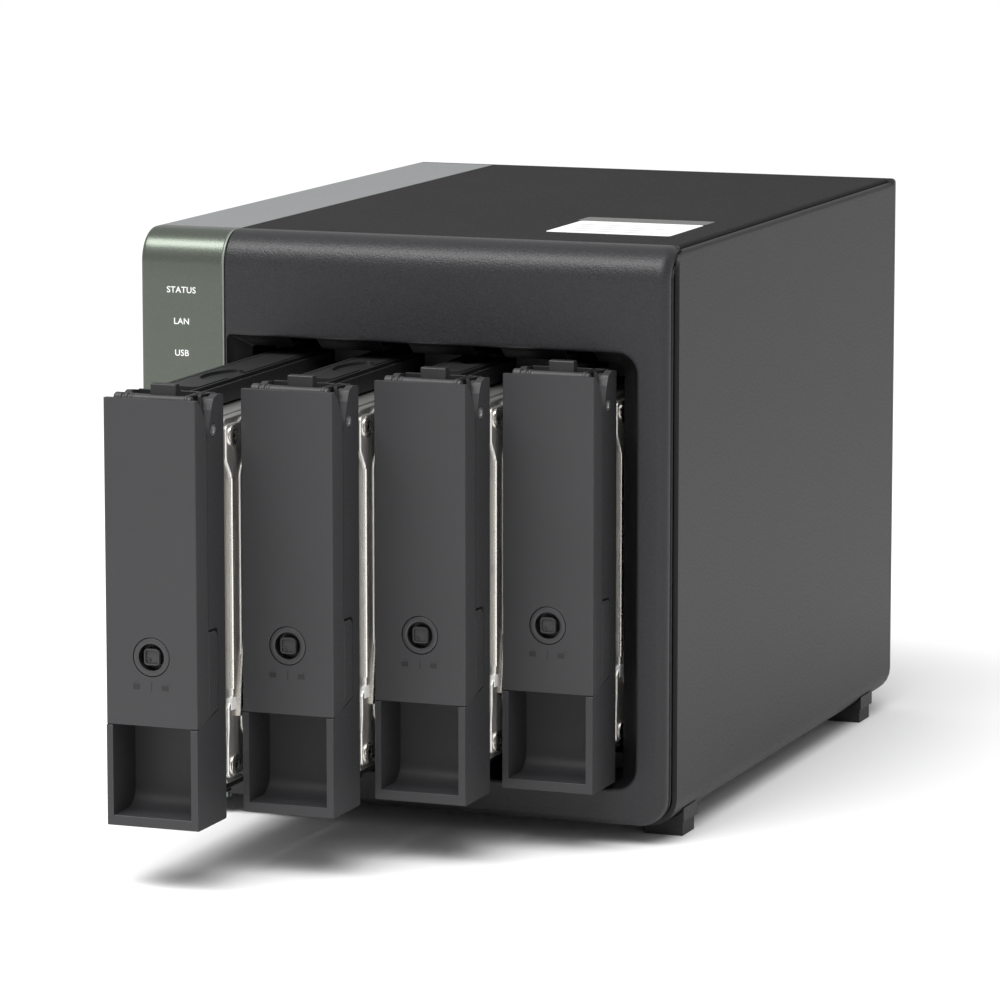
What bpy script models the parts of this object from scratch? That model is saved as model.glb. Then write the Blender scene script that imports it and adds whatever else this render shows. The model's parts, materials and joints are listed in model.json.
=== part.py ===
"""Four-bay network attached storage with its drive trays pulled out in a staircase.

Metres, +Z up. The front faces -Y and +X is to the right of a person facing it. The origin is at the
bottom centre of the box round the whole object in this pose.
"""

import math

import bmesh
import bpy
from mathutils import Matrix, Vector

MM = 0.001
GAP = 0.3 * MM  # clearance between pieces that touch

OVER = 1.0 * MM  # how far a cutter reaches past what it cuts, and a joined block into it

# Drives, of the standard 3.5-inch size
DRIVE_T = 26.1 * MM
DRIVE_H = 101.6 * MM
DRIVE_L = 147.0 * MM
DRIVE_EDGE = 2.0 * MM
DRIVE_LID = 4.0 * MM
DRIVE_LID_INSET = 1.2 * MM
DRIVE_LID_EDGE = 4.0 * MM
DRIVE_SIDE_ROOM = 0.275 * MM  # between a drive and each side of its tray
DRIVE_START = 2.6 * MM  # behind the tray's frame
RAIL_ROOM = 7.55 * MM  # above and below a drive, for the tray's rails and clips
PLUG_NOTCH_T = 5.0 * MM
PLUG_NOTCH_D = 4.0 * MM
PLUG_NOTCH_ROOM = 2.0 * MM  # above and below the socket

# Cabinet
RIGHT_MARGIN = 16.57 * MM  # from the last tray to the right side
TOP_MARGIN = 34.1 * MM  # from the trays' top to the cabinet's top
AIR_ROOM = 13.7 * MM  # between the backplane and the fan
GROUND_CLEARANCE = 4.8 * MM  # from the ground to the underside of the casing
COVER_WALL = 1.6 * MM
UNDER_RADIUS = 8.0 * MM  # of the side covers' lower edges
UNDER_FLAP = 20.0 * MM  # how far the side covers reach under the cabinet
TOP_WALL = 1.4 * MM
TOP_FOLD = 4.0 * MM  # height of the top cover's folded edge
TOP_GROOVE = 0.5 * MM  # between the top cover and the right cover
SIDE_LIP_DROP = 1.1 * MM  # of the right cover's upper edge, below the top cover
REAR_WALL = 1.4 * MM
BASE_WALL = 1.2 * MM
BASE_SIDE = 1.0 * MM  # from the side covers' rolled edges to the base pan
BASE_SLOTS = 5
BASE_SLOT = (5.0 * MM, 70.0 * MM)
BASE_SLOT_X = 25.0 * MM  # from the left flap to the first slot
BASE_SLOT_Y = 70.0 * MM  # from the bezel's face
BASE_SLOT_PITCH = 14.0 * MM
EDGE_RADIUS = 1.2 * MM

# Front
STRIP_W = 26.0 * MM  # indicator strip, and the grey strip on the top behind it
FRONT_TOP_D = 12.5 * MM  # how far the front pieces wrap over the top
FRONT_SIDE_D = 6.5 * MM  # how far they wrap round the sides
FRONT_TOP_RADIUS = 9.5 * MM
FRONT_EDGE_RADIUS = 3.0 * MM
FRONT_WALL = 2.4 * MM
OPENING_RIM = 0.49 * MM  # of bezel between the indicator strip and the opening
OPENING_MARGIN_LEFT = 6.8 * MM  # from the opening's outer edge to the first tray
OPENING_MARGIN_RIGHT = 7.1 * MM
OPENING_MARGIN_TOP = 5.9 * MM
OPENING_MARGIN_BOTTOM = 2.1 * MM
OPENING_RADIUS = 6.0 * MM
LIP_W = 5.8 * MM  # width of the slanted lip at the sides
LIP_TOP = 4.8 * MM
LIP_BOTTOM = 1.3 * MM
LIP_D = 5.0 * MM
LIP_RADIUS = 2.5 * MM
HOLE_D = 4.0 * MM  # depth of the strip's cuts, which is more than its wall
PIPE_W = 14.0 * MM
PIPE_T = 4.7 * MM
PIPE_SPAN = (62.0 * MM, 18.0 * MM)  # its lower and upper ends, below the top
PIPE_EDGE = 1.0 * MM

# Trays
TRAYS = 4
REST_PULL = (99.1 * MM, 70.9 * MM, 43.4 * MM, 17.3 * MM)  # front of each tray, past the bezel
TRAY_GAP = 1.13 * MM  # between neighbouring trays
TRAY_BOTTOM = 17.7 * MM
SEAT_D = 1.5 * MM  # from the bezel's face to a tray that is pushed in
FRAME_WALL = 1.8 * MM
FRAME_BACK = 2.0 * MM
FRAME_NOSE = ((3.2 * MM, 0.0), (6.2 * MM, 1.0 * MM), (7.6 * MM, 3.6 * MM))  # from its upper rear edge
FRAME_TOP_DROP = 0.4 * MM  # of its upper rear edge
FRAME_SHOULDER = 3.0 * MM  # below the pin, where the wall starts to lean back
RECESS_BACK = 14.5 * MM  # depth of the finger recess
RECESS_FLOOR = 2.8 * MM
HANDLE_BOTTOM = 45.7 * MM
HANDLE_WALL = 2.0 * MM
FLANGE_D = 7.8 * MM
BUMP_D = 14.0 * MM
BUMP_ROOM = 3.2 * MM  # least room behind the handle's grip
EAR_ROOM = 1.0 * MM  # least room behind its ears
BUMP_TOP = 70.8 * MM
BUMP_RISE = 3.4 * MM  # rise of the handle's lower edge from front to back
BUMP_RADIUS = 3.0 * MM
PIN_D = 12.4 * MM  # pin axis behind the tray's front
PIN_DROP = 9.2 * MM  # below the tray's top
PIN_R = 1.6 * MM
EAR_R = 3.4 * MM
EAR_W = 1.8 * MM
EAR_ROOT = 3.0 * MM  # how far an ear's root reaches below its round end
HOOK_W = 7.4 * MM
HOOK_X = 12.2 * MM  # from the tray's left side to the hook
HOOK_RISE = 3.9 * MM  # above the tray's top
HOOK_D = (3.4 * MM, 7.4 * MM)
HOOK_ROOT = (4.0 * MM, 2.0 * MM)  # its lower and upper ends, below the tray's top
LOCK_Z = 64.6 * MM
LOCK_R = 5.2 * MM
LOCK_GROOVE_R = 3.7 * MM
LOCK_CORE = 4.5 * MM
LOCK_D = 8.6 * MM
LOCK_SUNK = 0.1 * MM  # behind the handle's face
LOCK_GROOVE_D = 3.0 * MM
LOCK_CORE_SUNK = 0.4 * MM
LOCK_CORE_D = 4.0 * MM
LOCK_CORE_EDGE = 1.0 * MM
CAM_REACH = 3.5 * MM  # past the lock's side
CAM_W = 4.0 * MM
CAM_SPAN = (2.2 * MM, 0.2 * MM)  # its front and back, from the lock's rear end
RAIL_X = 1.0 * MM
RAIL_W = 15.5 * MM
RAIL_SHORT = 4.6 * MM  # from the rails' rear ends to the drive's
CLIP_H = 1.6 * MM
CLIP_DROP = 0.5 * MM  # from the tray's top to the upper clip
CLIP_START = 12.0 * MM
CLIP_TAIL = 37.0 * MM  # from its rear end to the rails'
CLIP_SIDES = (1.5 * MM, 2.5 * MM)  # from the rails' left and right edges
CLIP_EDGE = 2.0 * MM
SCOOP_X = 4.0 * MM  # from a clip's right edge to the middle of its finger scoop
SCOOP_Y = 28.0 * MM
SCOOP_R = 9.0 * MM

# Cage
CAGE_WALL = 1.4 * MM
CAGE_SIDE_ROOM = 1.0 * MM  # beside the outer trays
CAGE_HEADROOM = 1.4 * MM  # above the hooks
RIB_START = 2.0 * MM  # behind the pushed-in frames
RIB_H = 4.6 * MM
RIB_CLEAR = 0.5 * MM
RIB_SHORT = 1.0 * MM  # from the ribs' rear ends to the cage's

# Boards
BOARD_T = 1.6 * MM
SOCKET_D = 4.0 * MM
SOCKET_W = 6.0 * MM
SOCKET_H = 36.0 * MM
SOCKET_Z = 38.0 * MM
SOCKET_WALL = 2.0 * MM
SOCKET_SLOT_D = 3.0 * MM
PLUG_ROOM = 0.5 * MM
VENT = (14.0 * MM, 10.0 * MM)  # across, and up
VENT_START = 12.0 * MM  # above the sockets
VENT_PITCH = 18.0 * MM
VENT_EDGE = 7.0 * MM  # least board above the top row
MAIN_BOARD_X = 9.0 * MM  # from the left side
MAIN_BOARD_Y = 60.0 * MM  # from the bezel's face to its front edge
MAIN_BOARD_Z = 14.0 * MM
MAIN_BOARD_DROP = 18.5 * MM  # from the top to its upper edge
POST_R = 3.0 * MM
POST_INSET = 6.0 * MM
SINK = 44.0 * MM
SINK_Y = 24.0 * MM  # this and the following places are from the board's lower front corner
SINK_Z = 62.0 * MM
SINK_BASE = 3.0 * MM
SINK_H = 15.0 * MM
FINS = 8
FIN_T = 1.6 * MM
FIN_PITCH = 6.0 * MM
MEMORY_Y = (20.0 * MM, 88.0 * MM)
MEMORY_Z = (12.0 * MM, 42.0 * MM)
MEMORY_T = 4.0 * MM
MEMORY_EDGE = 1.0 * MM
CELL_YZ = (100.0 * MM, 100.0 * MM)
CELL_R = 10.0 * MM
CELL_T = 3.2 * MM

# Fan
FAN_SIZE = 120.0 * MM
FAN_D = 25.0 * MM
FAN_MARGIN = 4.0 * MM  # to the right side
FAN_LEFT_ROOM = 2.0 * MM  # least room between the fan and the rear sockets
FAN_RIM = 3.0 * MM
FAN_EDGE = 5.0 * MM
FAN_MOUNT_D = 4.0 * MM
STRUT_W = 4.0 * MM
STRUT_REACH = 2.0 * MM  # into the frame
HUB_R = 20.0 * MM
HUB_INSET = 1.0 * MM  # behind the frame's front
BLADES = 7
BLADE_ROOT = 2.0 * MM  # reach into the hub
BLADE_INSET = 1.0 * MM  # from the hub's ends
BLADE_TIP_ROOM = 1.5 * MM
BLADE_SPREAD = (20.0, 16.43)  # half the angle it covers at the root and at the tip, in degrees
BLADE_SWEEP = 8.0  # how far the tip leads, in degrees
BLADE_T = (2.4 * MM, 1.2 * MM)  # at the root and at the tip
GUARD_R = 0.8 * MM
GUARD_CROSS_R = 0.7 * MM  # of the second of the crossed wires
GUARD_RING_R = 0.6 * MM
GUARD_FIRST = 16.0 * MM  # radius of the smallest ring
GUARD_STEP = 14.0 * MM
GUARD_REACH = 1.3  # times half the fan's size, along the diagonals

# Controls and sockets
POWER_Z = 70.0 * MM
POWER_R = 6.0 * MM
COPY_Z = 27.0 * MM
COPY_R = 4.0 * MM
BUTTON_PROUD = 0.5 * MM
BUTTON_L = 7.0 * MM
USB_Z = 45.0 * MM
USB_SHELL = (7.2 * MM, 14.6 * MM)  # across, and up
USB_WALL = 1.1 * MM
USB_L = 14.0 * MM
USB_SUNK = 0.3 * MM  # behind the strip's face
LAN_Z = (98.0 * MM, 131.0 * MM)
LAN_W = 14.0 * MM
LAN_L = 21.0 * MM
LAN_CAVITY = (9.0 * MM, 11.8 * MM, 15.0 * MM)
REAR_USB_Z = (74.0 * MM, 89.0 * MM)
REAR_USB_W = 14.6 * MM
REAR_USB_CAVITY = (5.2 * MM, 12.4 * MM, 11.0 * MM)
JACK_Z = (34.0 * MM, 46.0 * MM)
JACK_W = 11.0 * MM
JACK_L = 14.0 * MM
JACK_BORE_R = 3.3 * MM
JACK_BORE_D = 10.0 * MM
JACK_PIN_R = 1.0 * MM
JACK_PIN_SUNK = 2.0 * MM
RESET_Z = 60.0 * MM
RESET_R = 1.5 * MM
RESET_SPAN = (5.0 * MM, 0.6 * MM)  # its inner and outer ends, in front of the back

# Feet
FOOT_W = 12.9 * MM
FOOT_L = 12.2 * MM
FOOT_SIDE = 1.0 * MM  # from the cabinet's side to the foot's outer face
FOOT_LAND = 0.1 * MM  # least step from a foot's outer face to its curved top
FOOT_FRONT_Y = 16.2 * MM
FOOT_REAR_Y = 16.7 * MM  # from the back to the rear foot

# What follows from the sizes above
TRAY_W = DRIVE_T + 2 * DRIVE_SIDE_ROOM
TRAY_TOP = TRAY_BOTTOM + DRIVE_H + 2 * RAIL_ROOM
TRAY_PITCH = TRAY_W + TRAY_GAP
FRAME_D = max(BUMP_D + BUMP_ROOM, PIN_D + EAR_R + EAR_ROOM) + FRAME_BACK
FIRST_TRAY_X = STRIP_W + GAP / 2 + OPENING_RIM + OPENING_MARGIN_LEFT  # from the left side
BAYS_W = FIRST_TRAY_X + TRAYS * TRAY_PITCH - TRAY_GAP + RIGHT_MARGIN
SOCKETS_W = MAIN_BOARD_X + BOARD_T + GAP + max(LAN_W, REAR_USB_W, JACK_W)
CABINET_W = max(BAYS_W, SOCKETS_W + FAN_LEFT_ROOM + FAN_SIZE + FAN_MARGIN)
CABINET_H = TRAY_TOP + TOP_MARGIN  # from the ground, feet included
BACKPLANE_D = SEAT_D + FRAME_D + DRIVE_START + DRIVE_L + PLUG_ROOM + SOCKET_D + GAP
REAR_D = FAN_D + 2 * GUARD_R + 2 * GAP + REAR_WALL
CABINET_D = BACKPLANE_D + BOARD_T + AIR_ROOM + REAR_D
RAIL_D = DRIVE_START + DRIVE_L - RAIL_SHORT  # from the back of the frame's wall
CLIP_L = RAIL_D - CLIP_START - CLIP_TAIL
PIN_Z = TRAY_TOP - PIN_DROP
HOOK_TOP = TRAY_TOP + HOOK_RISE
FAN_BORE_R = FAN_SIZE / 2 - FAN_RIM

# Places
LEFT = -CABINET_W / 2
RIGHT = CABINET_W / 2
FRONT = -(CABINET_D - REST_PULL[0]) / 2
BACK = FRONT + CABINET_D
TOP = CABINET_H
BOTTOM = GROUND_CLEARANCE
INNER_BACK = BACK - REAR_WALL - GAP
LAST_TRAY_RIGHT = LEFT + FIRST_TRAY_X + (TRAYS - 1) * TRAY_PITCH + TRAY_W
BAYS_LEFT = LEFT + FIRST_TRAY_X - CAGE_SIDE_ROOM
BAYS_RIGHT = LAST_TRAY_RIGHT + CAGE_SIDE_ROOM
CAGE_TOP = HOOK_TOP + CAGE_HEADROOM
CAGE_FLOOR = TRAY_BOTTOM - 2 * GAP
SEATED_DRIVE_BACK = FRONT + SEAT_D + FRAME_D + DRIVE_START + DRIVE_L
SOCKET_FRONT = SEATED_DRIVE_BACK + PLUG_ROOM
BACKPLANE_Y = SOCKET_FRONT + SOCKET_D + GAP
CAGE_BACK = BACKPLANE_Y - GAP
FAN_BACK = INNER_BACK - 2 * GUARD_R - GAP
FAN_X = RIGHT - FAN_MARGIN - FAN_SIZE / 2
FAN_Z = (BOTTOM + TOP) / 2
STRIP_X = LEFT + STRIP_W / 2


def clear_scene():
    for item in list(bpy.data.objects):
        bpy.data.objects.remove(item, do_unlink=True)


def new_collection(name):
    collection = bpy.data.collections.new(name)
    bpy.context.scene.collection.children.link(collection)
    return collection


def material(name, colour, roughness, metallic=0.0):
    made = bpy.data.materials.new(name)
    made.use_nodes = True
    shader = made.node_tree.nodes["Principled BSDF"]
    shader.inputs["Base Color"].default_value = (*colour, 1.0)
    shader.inputs["Roughness"].default_value = roughness
    shader.inputs["Metallic"].default_value = metallic
    return made


def from_bmesh(name, shape, location=(0, 0, 0)):
    mesh = bpy.data.meshes.new(name)
    shape.to_mesh(mesh)
    shape.free()
    made = bpy.data.objects.new(name, mesh)
    made.location = location
    parts.objects.link(made)
    return made


def block(name, low, high, axis=None, radius=0.0, segments=3):
    """A box from corner to corner. Its edges along the given axis, if any, are rounded."""
    low, high = Vector(low), Vector(high)
    shape = bmesh.new()
    bmesh.ops.create_cube(shape, size=1.0, matrix=Matrix.Diagonal((*(high - low), 1.0)))
    if axis is not None:
        chosen = []
        for edge in shape.edges:
            run = edge.verts[1].co - edge.verts[0].co
            if abs(run[axis]) > 0.9 * run.length:
                chosen.append(edge)
        bmesh.ops.bevel(
            shape, geom=chosen, offset=radius, segments=segments, profile=0.5, affect="EDGES"
        )
    return from_bmesh(name, shape, (low + high) / 2)


def drum(name, start, end, radius, segments=24):
    """A cylinder between two points."""
    start, end = Vector(start), Vector(end)
    run = end - start
    shape = bmesh.new()
    bmesh.ops.create_cone(
        shape,
        cap_ends=True,
        segments=segments,
        radius1=radius,
        radius2=radius,
        depth=run.length,
    )
    turn = run.to_track_quat("Z", "Y").to_matrix().to_4x4()
    bmesh.ops.transform(shape, matrix=turn, verts=shape.verts)
    return from_bmesh(name, shape, (start + end) / 2)


def arc(centre, radius, first, last, steps=4):
    """Points of an arc, angles in degrees from the outline's first axis."""
    angles = [math.radians(first + (last - first) * i / steps) for i in range(steps + 1)]
    return [(centre[0] + radius * math.cos(a), centre[1] + radius * math.sin(a)) for a in angles]


PLANES = {
    "x": Matrix(((0, 0, 1), (1, 0, 0), (0, 1, 0))),  # outline is (y, z)
    "y": Matrix(((1, 0, 0), (0, 0, -1), (0, 1, 0))),  # outline is (x, z)
    "z": Matrix.Identity(3),  # outline is (x, y)
}


def slab(name, outline, along, start, end):
    """A flat outline given a thickness along one axis, from start to end."""
    curve = bpy.data.curves.new(name, "CURVE")
    curve.dimensions = "2D"
    curve.fill_mode = "BOTH"
    curve.extrude = abs(end - start) / 2
    spline = curve.splines.new("POLY")
    spline.points.add(len(outline) - 1)
    for point, (u, v) in zip(spline.points, outline):
        point.co = (u, v, 0, 1)
    spline.use_cyclic_u = True
    flat = bpy.data.objects.new(name + "_outline", curve)
    helpers.objects.link(flat)
    flat.matrix_world = PLANES[along].to_4x4()
    bpy.context.view_layer.update()
    mesh = bpy.data.meshes.new_from_object(flat.evaluated_get(bpy.context.evaluated_depsgraph_get()))
    mesh.name = name
    made = bpy.data.objects.new(name, mesh)
    parts.objects.link(made)
    middle = (start + end) / 2
    offset = {"x": (middle, 0, 0), "y": (0, middle, 0), "z": (0, 0, middle)}[along]
    made.matrix_world = Matrix.Translation(offset) @ flat.matrix_world
    bpy.data.objects.remove(flat)
    shape = bmesh.new()
    shape.from_mesh(mesh)
    bmesh.ops.remove_doubles(shape, verts=shape.verts, dist=0.00001)
    bmesh.ops.recalc_face_normals(shape, faces=shape.faces)
    shape.to_mesh(mesh)
    shape.free()
    return made


def loft(name, sections):
    """A closed solid through loops that have the same number of points."""
    shape = bmesh.new()
    loops = [[shape.verts.new(point) for point in section] for section in sections]
    count = len(loops[0])
    for near, far in zip(loops, loops[1:]):
        for i in range(count):
            shape.faces.new((near[i], near[(i + 1) % count], far[(i + 1) % count], far[i]))
    shape.faces.new(loops[0])
    shape.faces.new(loops[-1])
    bmesh.ops.recalc_face_normals(shape, faces=shape.faces)
    return from_bmesh(name, shape)


def combine(target, operation, *tools):
    """Cuts the tools from the target, joins them to it, or keeps what they share with it."""
    for tool in tools:
        change = target.modifiers.new(tool.name, "BOOLEAN")
        change.operation = operation
        change.solver = "EXACT"
        change.object = tool
        parts.objects.unlink(tool)
        helpers.objects.link(tool)
        tool.hide_render = True
        tool.display_type = "WIRE"
    return target


def cut(target, *tools):
    return combine(target, "DIFFERENCE", *tools)


def fuse(target, *tools):
    return combine(target, "UNION", *tools)


def finish(item, look, pivot=None):
    """Gives a piece its material, and its pivot if it moves."""
    item.data.materials.clear()
    item.data.materials.append(look)
    if pivot is not None:
        item.parent = pivot
        item.matrix_parent_inverse = pivot.matrix_world.inverted()
    return item


def pivot_at(name, place, parent=None):
    made = bpy.data.objects.new(name, None)
    parts.objects.link(made)
    made.location = place
    bpy.context.view_layer.update()
    if parent is not None:
        made.parent = parent
        made.matrix_parent_inverse = parent.matrix_world.inverted()
        bpy.context.view_layer.update()
    return made


def rounded_rectangle(low, high, radius, steps=4):
    (x0, z0), (x1, z1) = low, high
    return (
        arc((x1 - radius, z1 - radius), radius, 0, 90, steps)
        + arc((x0 + radius, z1 - radius), radius, 90, 180, steps)
        + arc((x0 + radius, z0 + radius), radius, 180, 270, steps)
        + arc((x1 - radius, z0 + radius), radius, 270, 360, steps)
    )


def under_edge(side, inset):
    """The rolled lower edge of a side cover, from the side to the underside, as (x, z) points."""
    out = 1 if side > 0 else -1
    centre = (side * CABINET_W / 2 - out * UNDER_RADIUS, BOTTOM + UNDER_RADIUS)
    first, last = (0, -90) if out > 0 else (180, 270)
    return arc(centre, UNDER_RADIUS - inset, first, last, 6)


def build_left_cover():
    """Side wall, rolled lower edge and the strip on the top."""
    seam = LEFT + STRIP_W - GAP / 2
    corner = arc((LEFT + EDGE_RADIUS, TOP - EDGE_RADIUS), EDGE_RADIUS, 90, 180, 3)
    outline = [(seam, TOP)] + corner + under_edge(-1, 0) + [(LEFT + UNDER_FLAP, BOTTOM)]
    outline += [(LEFT + UNDER_FLAP, BOTTOM + COVER_WALL)] + under_edge(-1, COVER_WALL)[::-1]
    outline += [(LEFT + COVER_WALL, TOP - COVER_WALL), (seam, TOP - COVER_WALL)]
    cover = slab("left_cover", outline, "y", FRONT + FRONT_SIDE_D + GAP, INNER_BACK)
    corner_room = block(
        "left_cover_front_room",
        (LEFT - OVER, FRONT, TOP - FRONT_TOP_RADIUS),
        (LEFT + STRIP_W + OVER, FRONT + FRONT_TOP_D + GAP, TOP + OVER),
    )
    return finish(cut(cover, corner_room), looks["grey_gloss"])


def build_right_cover():
    """Side wall with a rounded upper lip and a rolled lower edge."""
    lip = TOP - SIDE_LIP_DROP
    outline = [(RIGHT - COVER_WALL, lip)]
    outline += arc((RIGHT - EDGE_RADIUS, lip - EDGE_RADIUS), EDGE_RADIUS, 90, 0, 3)
    outline += under_edge(1, 0) + [(RIGHT - UNDER_FLAP, BOTTOM)]
    outline += [(RIGHT - UNDER_FLAP, BOTTOM + COVER_WALL)] + under_edge(1, COVER_WALL)[::-1]
    cover = slab("right_cover", outline, "y", FRONT + FRONT_SIDE_D + GAP, INNER_BACK)
    return finish(cover, looks["dark_satin"])


def build_top_cover():
    """Flat top whose right edge folds down."""
    start = LEFT + STRIP_W + GAP / 2
    edge = RIGHT - COVER_WALL - TOP_GROOVE
    outline = [(start, TOP)] + arc((edge - EDGE_RADIUS, TOP - EDGE_RADIUS), EDGE_RADIUS, 90, 0, 3)
    outline += [(edge, TOP - TOP_FOLD), (edge - TOP_WALL, TOP - TOP_FOLD)]
    outline += [(edge - TOP_WALL, TOP - TOP_WALL), (start, TOP - TOP_WALL)]
    cover = slab("top_cover", outline, "y", FRONT + FRONT_TOP_D + GAP, INNER_BACK)
    return finish(cover, looks["dark_texture"])


def front_envelope(name, x0, x1):
    """The front's side profile, with its large radius from the face to the top."""
    centre = (FRONT + FRONT_TOP_RADIUS, TOP - FRONT_TOP_RADIUS)
    outline = [(FRONT, BOTTOM)] + arc(centre, FRONT_TOP_RADIUS, 180, 90, 8)
    outline += [(FRONT + FRONT_TOP_D, TOP), (FRONT + FRONT_TOP_D, BOTTOM)]
    return slab(name, outline, "x", x0, x1)


def round_lower_corner(item, side):
    """Gives a front piece the rolled lower corner of the side cover beside it."""
    far = -side * (CABINET_W / 2 + OVER)
    outline = [(far, TOP + OVER), (side * CABINET_W / 2, TOP + OVER)] + under_edge(side, 0)
    outline += [(far, BOTTOM)]
    keep = slab(item.name + "_corner", outline, "y", FRONT - OVER, FRONT + FRONT_TOP_D + 2 * OVER)
    combine(item, "INTERSECT", keep)


def front_hollow(name, x0, x1):
    """What makes a front envelope a shell: the room behind its face, and all below its top return."""
    behind = block(
        name + "_hollow",
        (x0, FRONT + FRONT_WALL, BOTTOM + 2 * FRONT_WALL),
        (x1, FRONT + FRONT_TOP_D + OVER, TOP - FRONT_WALL),
    )
    below = block(
        name + "_below",
        (LEFT - OVER, FRONT + FRONT_SIDE_D, BOTTOM - OVER),
        (RIGHT + OVER, FRONT + FRONT_TOP_D + OVER, TOP - FRONT_WALL),
    )
    return behind, below


def opening_box():
    """The bay opening's outer edge on the bezel's face, as two (x, z) corners."""
    low = (LEFT + FIRST_TRAY_X - OPENING_MARGIN_LEFT, TRAY_BOTTOM - OPENING_MARGIN_BOTTOM)
    high = (LAST_TRAY_RIGHT + OPENING_MARGIN_RIGHT, TRAY_TOP + OPENING_MARGIN_TOP)
    return low, high


def build_front_bezel():
    x0 = LEFT + STRIP_W + GAP / 2
    depth = FRONT + FRONT_TOP_D
    bezel = front_envelope("front_bezel", x0, RIGHT)
    side = RIGHT - COVER_WALL - GAP
    plan = [(x0 - OVER, FRONT - OVER), (RIGHT - FRONT_EDGE_RADIUS, FRONT - OVER)]
    plan += arc((RIGHT - FRONT_EDGE_RADIUS, FRONT + FRONT_EDGE_RADIUS), FRONT_EDGE_RADIUS, 270, 360)
    plan += [(RIGHT, FRONT + FRONT_SIDE_D), (side, FRONT + FRONT_SIDE_D), (side, depth + OVER)]
    plan += [(x0 - OVER, depth + OVER)]
    combine(bezel, "INTERSECT", slab("bezel_plan", plan, "z", BOTTOM - OVER, TOP + OVER))
    cut(bezel, *front_hollow("bezel", x0 + FRONT_WALL, RIGHT - FRONT_WALL))
    round_lower_corner(bezel, 1)
    (ox0, oz0), (ox1, oz1) = opening_box()
    throat = block(
        "bezel_throat",
        (x0, FRONT + FRONT_WALL / 2, oz0 - FRONT_WALL),
        (ox1 + FRONT_WALL, depth, oz1 + FRONT_WALL),
    )
    fuse(bezel, throat)
    outer = rounded_rectangle((ox0, oz0), (ox1, oz1), OPENING_RADIUS)
    low = (ox0 + LIP_W, oz0 + LIP_BOTTOM)
    high = (ox1 - LIP_W, oz1 - LIP_TOP)
    inner = rounded_rectangle(low, high, LIP_RADIUS)
    sections = [
        [(x, FRONT - OVER, z) for x, z in outer],
        [(x, FRONT, z) for x, z in outer],
        [(x, FRONT + LIP_D, z) for x, z in inner],
        [(x, depth + OVER, z) for x, z in inner],
    ]
    cut(bezel, loft("bezel_opening", sections))
    for number in range(1, TRAYS + 1):
        hook = tray_left(number) + HOOK_X
        slot = block(
            f"bezel_hook_slot_{number}",
            (hook - 2 * GAP, FRONT - OVER, high[1] - OVER),
            (hook + HOOK_W + 2 * GAP, depth + OVER, HOOK_TOP + 2 * GAP),
        )
        cut(bezel, slot)
    return finish(bezel, looks["black_grain"])


def build_indicator_strip():
    """Left front strip with holes for the buttons and the front socket."""
    x1 = LEFT + STRIP_W - GAP / 2
    strip = front_envelope("indicator_strip", LEFT, x1)
    plan = arc((LEFT + EDGE_RADIUS, FRONT + EDGE_RADIUS), EDGE_RADIUS, 180, 270, 3)
    right, rear = x1 + OVER, FRONT + FRONT_TOP_D + OVER
    plan += [(right, FRONT), (right, rear), (LEFT, rear)]
    combine(strip, "INTERSECT", slab("strip_plan", plan, "z", BOTTOM - OVER, TOP + OVER))
    cut(strip, *front_hollow("strip", LEFT + COVER_WALL, x1 - COVER_WALL))
    round_lower_corner(strip, -1)
    for name, z, radius in (("power", POWER_Z, POWER_R), ("copy", COPY_Z, COPY_R)):
        start, end = (STRIP_X, FRONT - OVER, z), (STRIP_X, FRONT + HOLE_D, z)
        cut(strip, drum(f"{name}_button_hole", start, end, radius + GAP))
    across, up = USB_SHELL
    low = (STRIP_X - across / 2 - GAP, FRONT - OVER, USB_Z - up / 2 - GAP)
    high = (STRIP_X + across / 2 + GAP, FRONT + HOLE_D, USB_Z + up / 2 + GAP)
    cut(strip, block("front_usb_window", low, high))
    return finish(strip, looks["green_metallic"])


def build_light_pipe():
    """Block behind the strip that carries the indicators' light to its face."""
    y0 = FRONT + FRONT_WALL + GAP
    low = (STRIP_X - PIPE_W / 2, y0, TOP - PIPE_SPAN[0])
    high = (STRIP_X + PIPE_W / 2, y0 + PIPE_T, TOP - PIPE_SPAN[1])
    return finish(block("light_pipe", low, high, 0, PIPE_EDGE), looks["clear"])


def build_front_usb():
    """Metal shell, open to the front."""
    across, up = USB_SHELL
    y0 = FRONT + USB_SUNK
    low = (STRIP_X - across / 2, y0, USB_Z - up / 2)
    high = (STRIP_X + across / 2, y0 + USB_L, USB_Z + up / 2)
    shell = block("front_usb_port", low, high)
    room = block(
        "front_usb_room",
        (low[0] + USB_WALL, y0 - OVER, low[2] + USB_WALL),
        (high[0] - USB_WALL, y0 + USB_L - USB_WALL, high[2] - USB_WALL),
    )
    return finish(cut(shell, room), looks["steel"])


def build_button(name, z, radius):
    """A round button on the strip. Its pivot is on its own axis."""
    place = (STRIP_X, FRONT, z)
    pivot = pivot_at(name + "_pivot", place)
    start = (STRIP_X, FRONT - BUTTON_PROUD, z)
    button = drum(name, start, (STRIP_X, FRONT - BUTTON_PROUD + BUTTON_L, z), radius)
    return finish(button, looks["green_metallic"], pivot)


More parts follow.
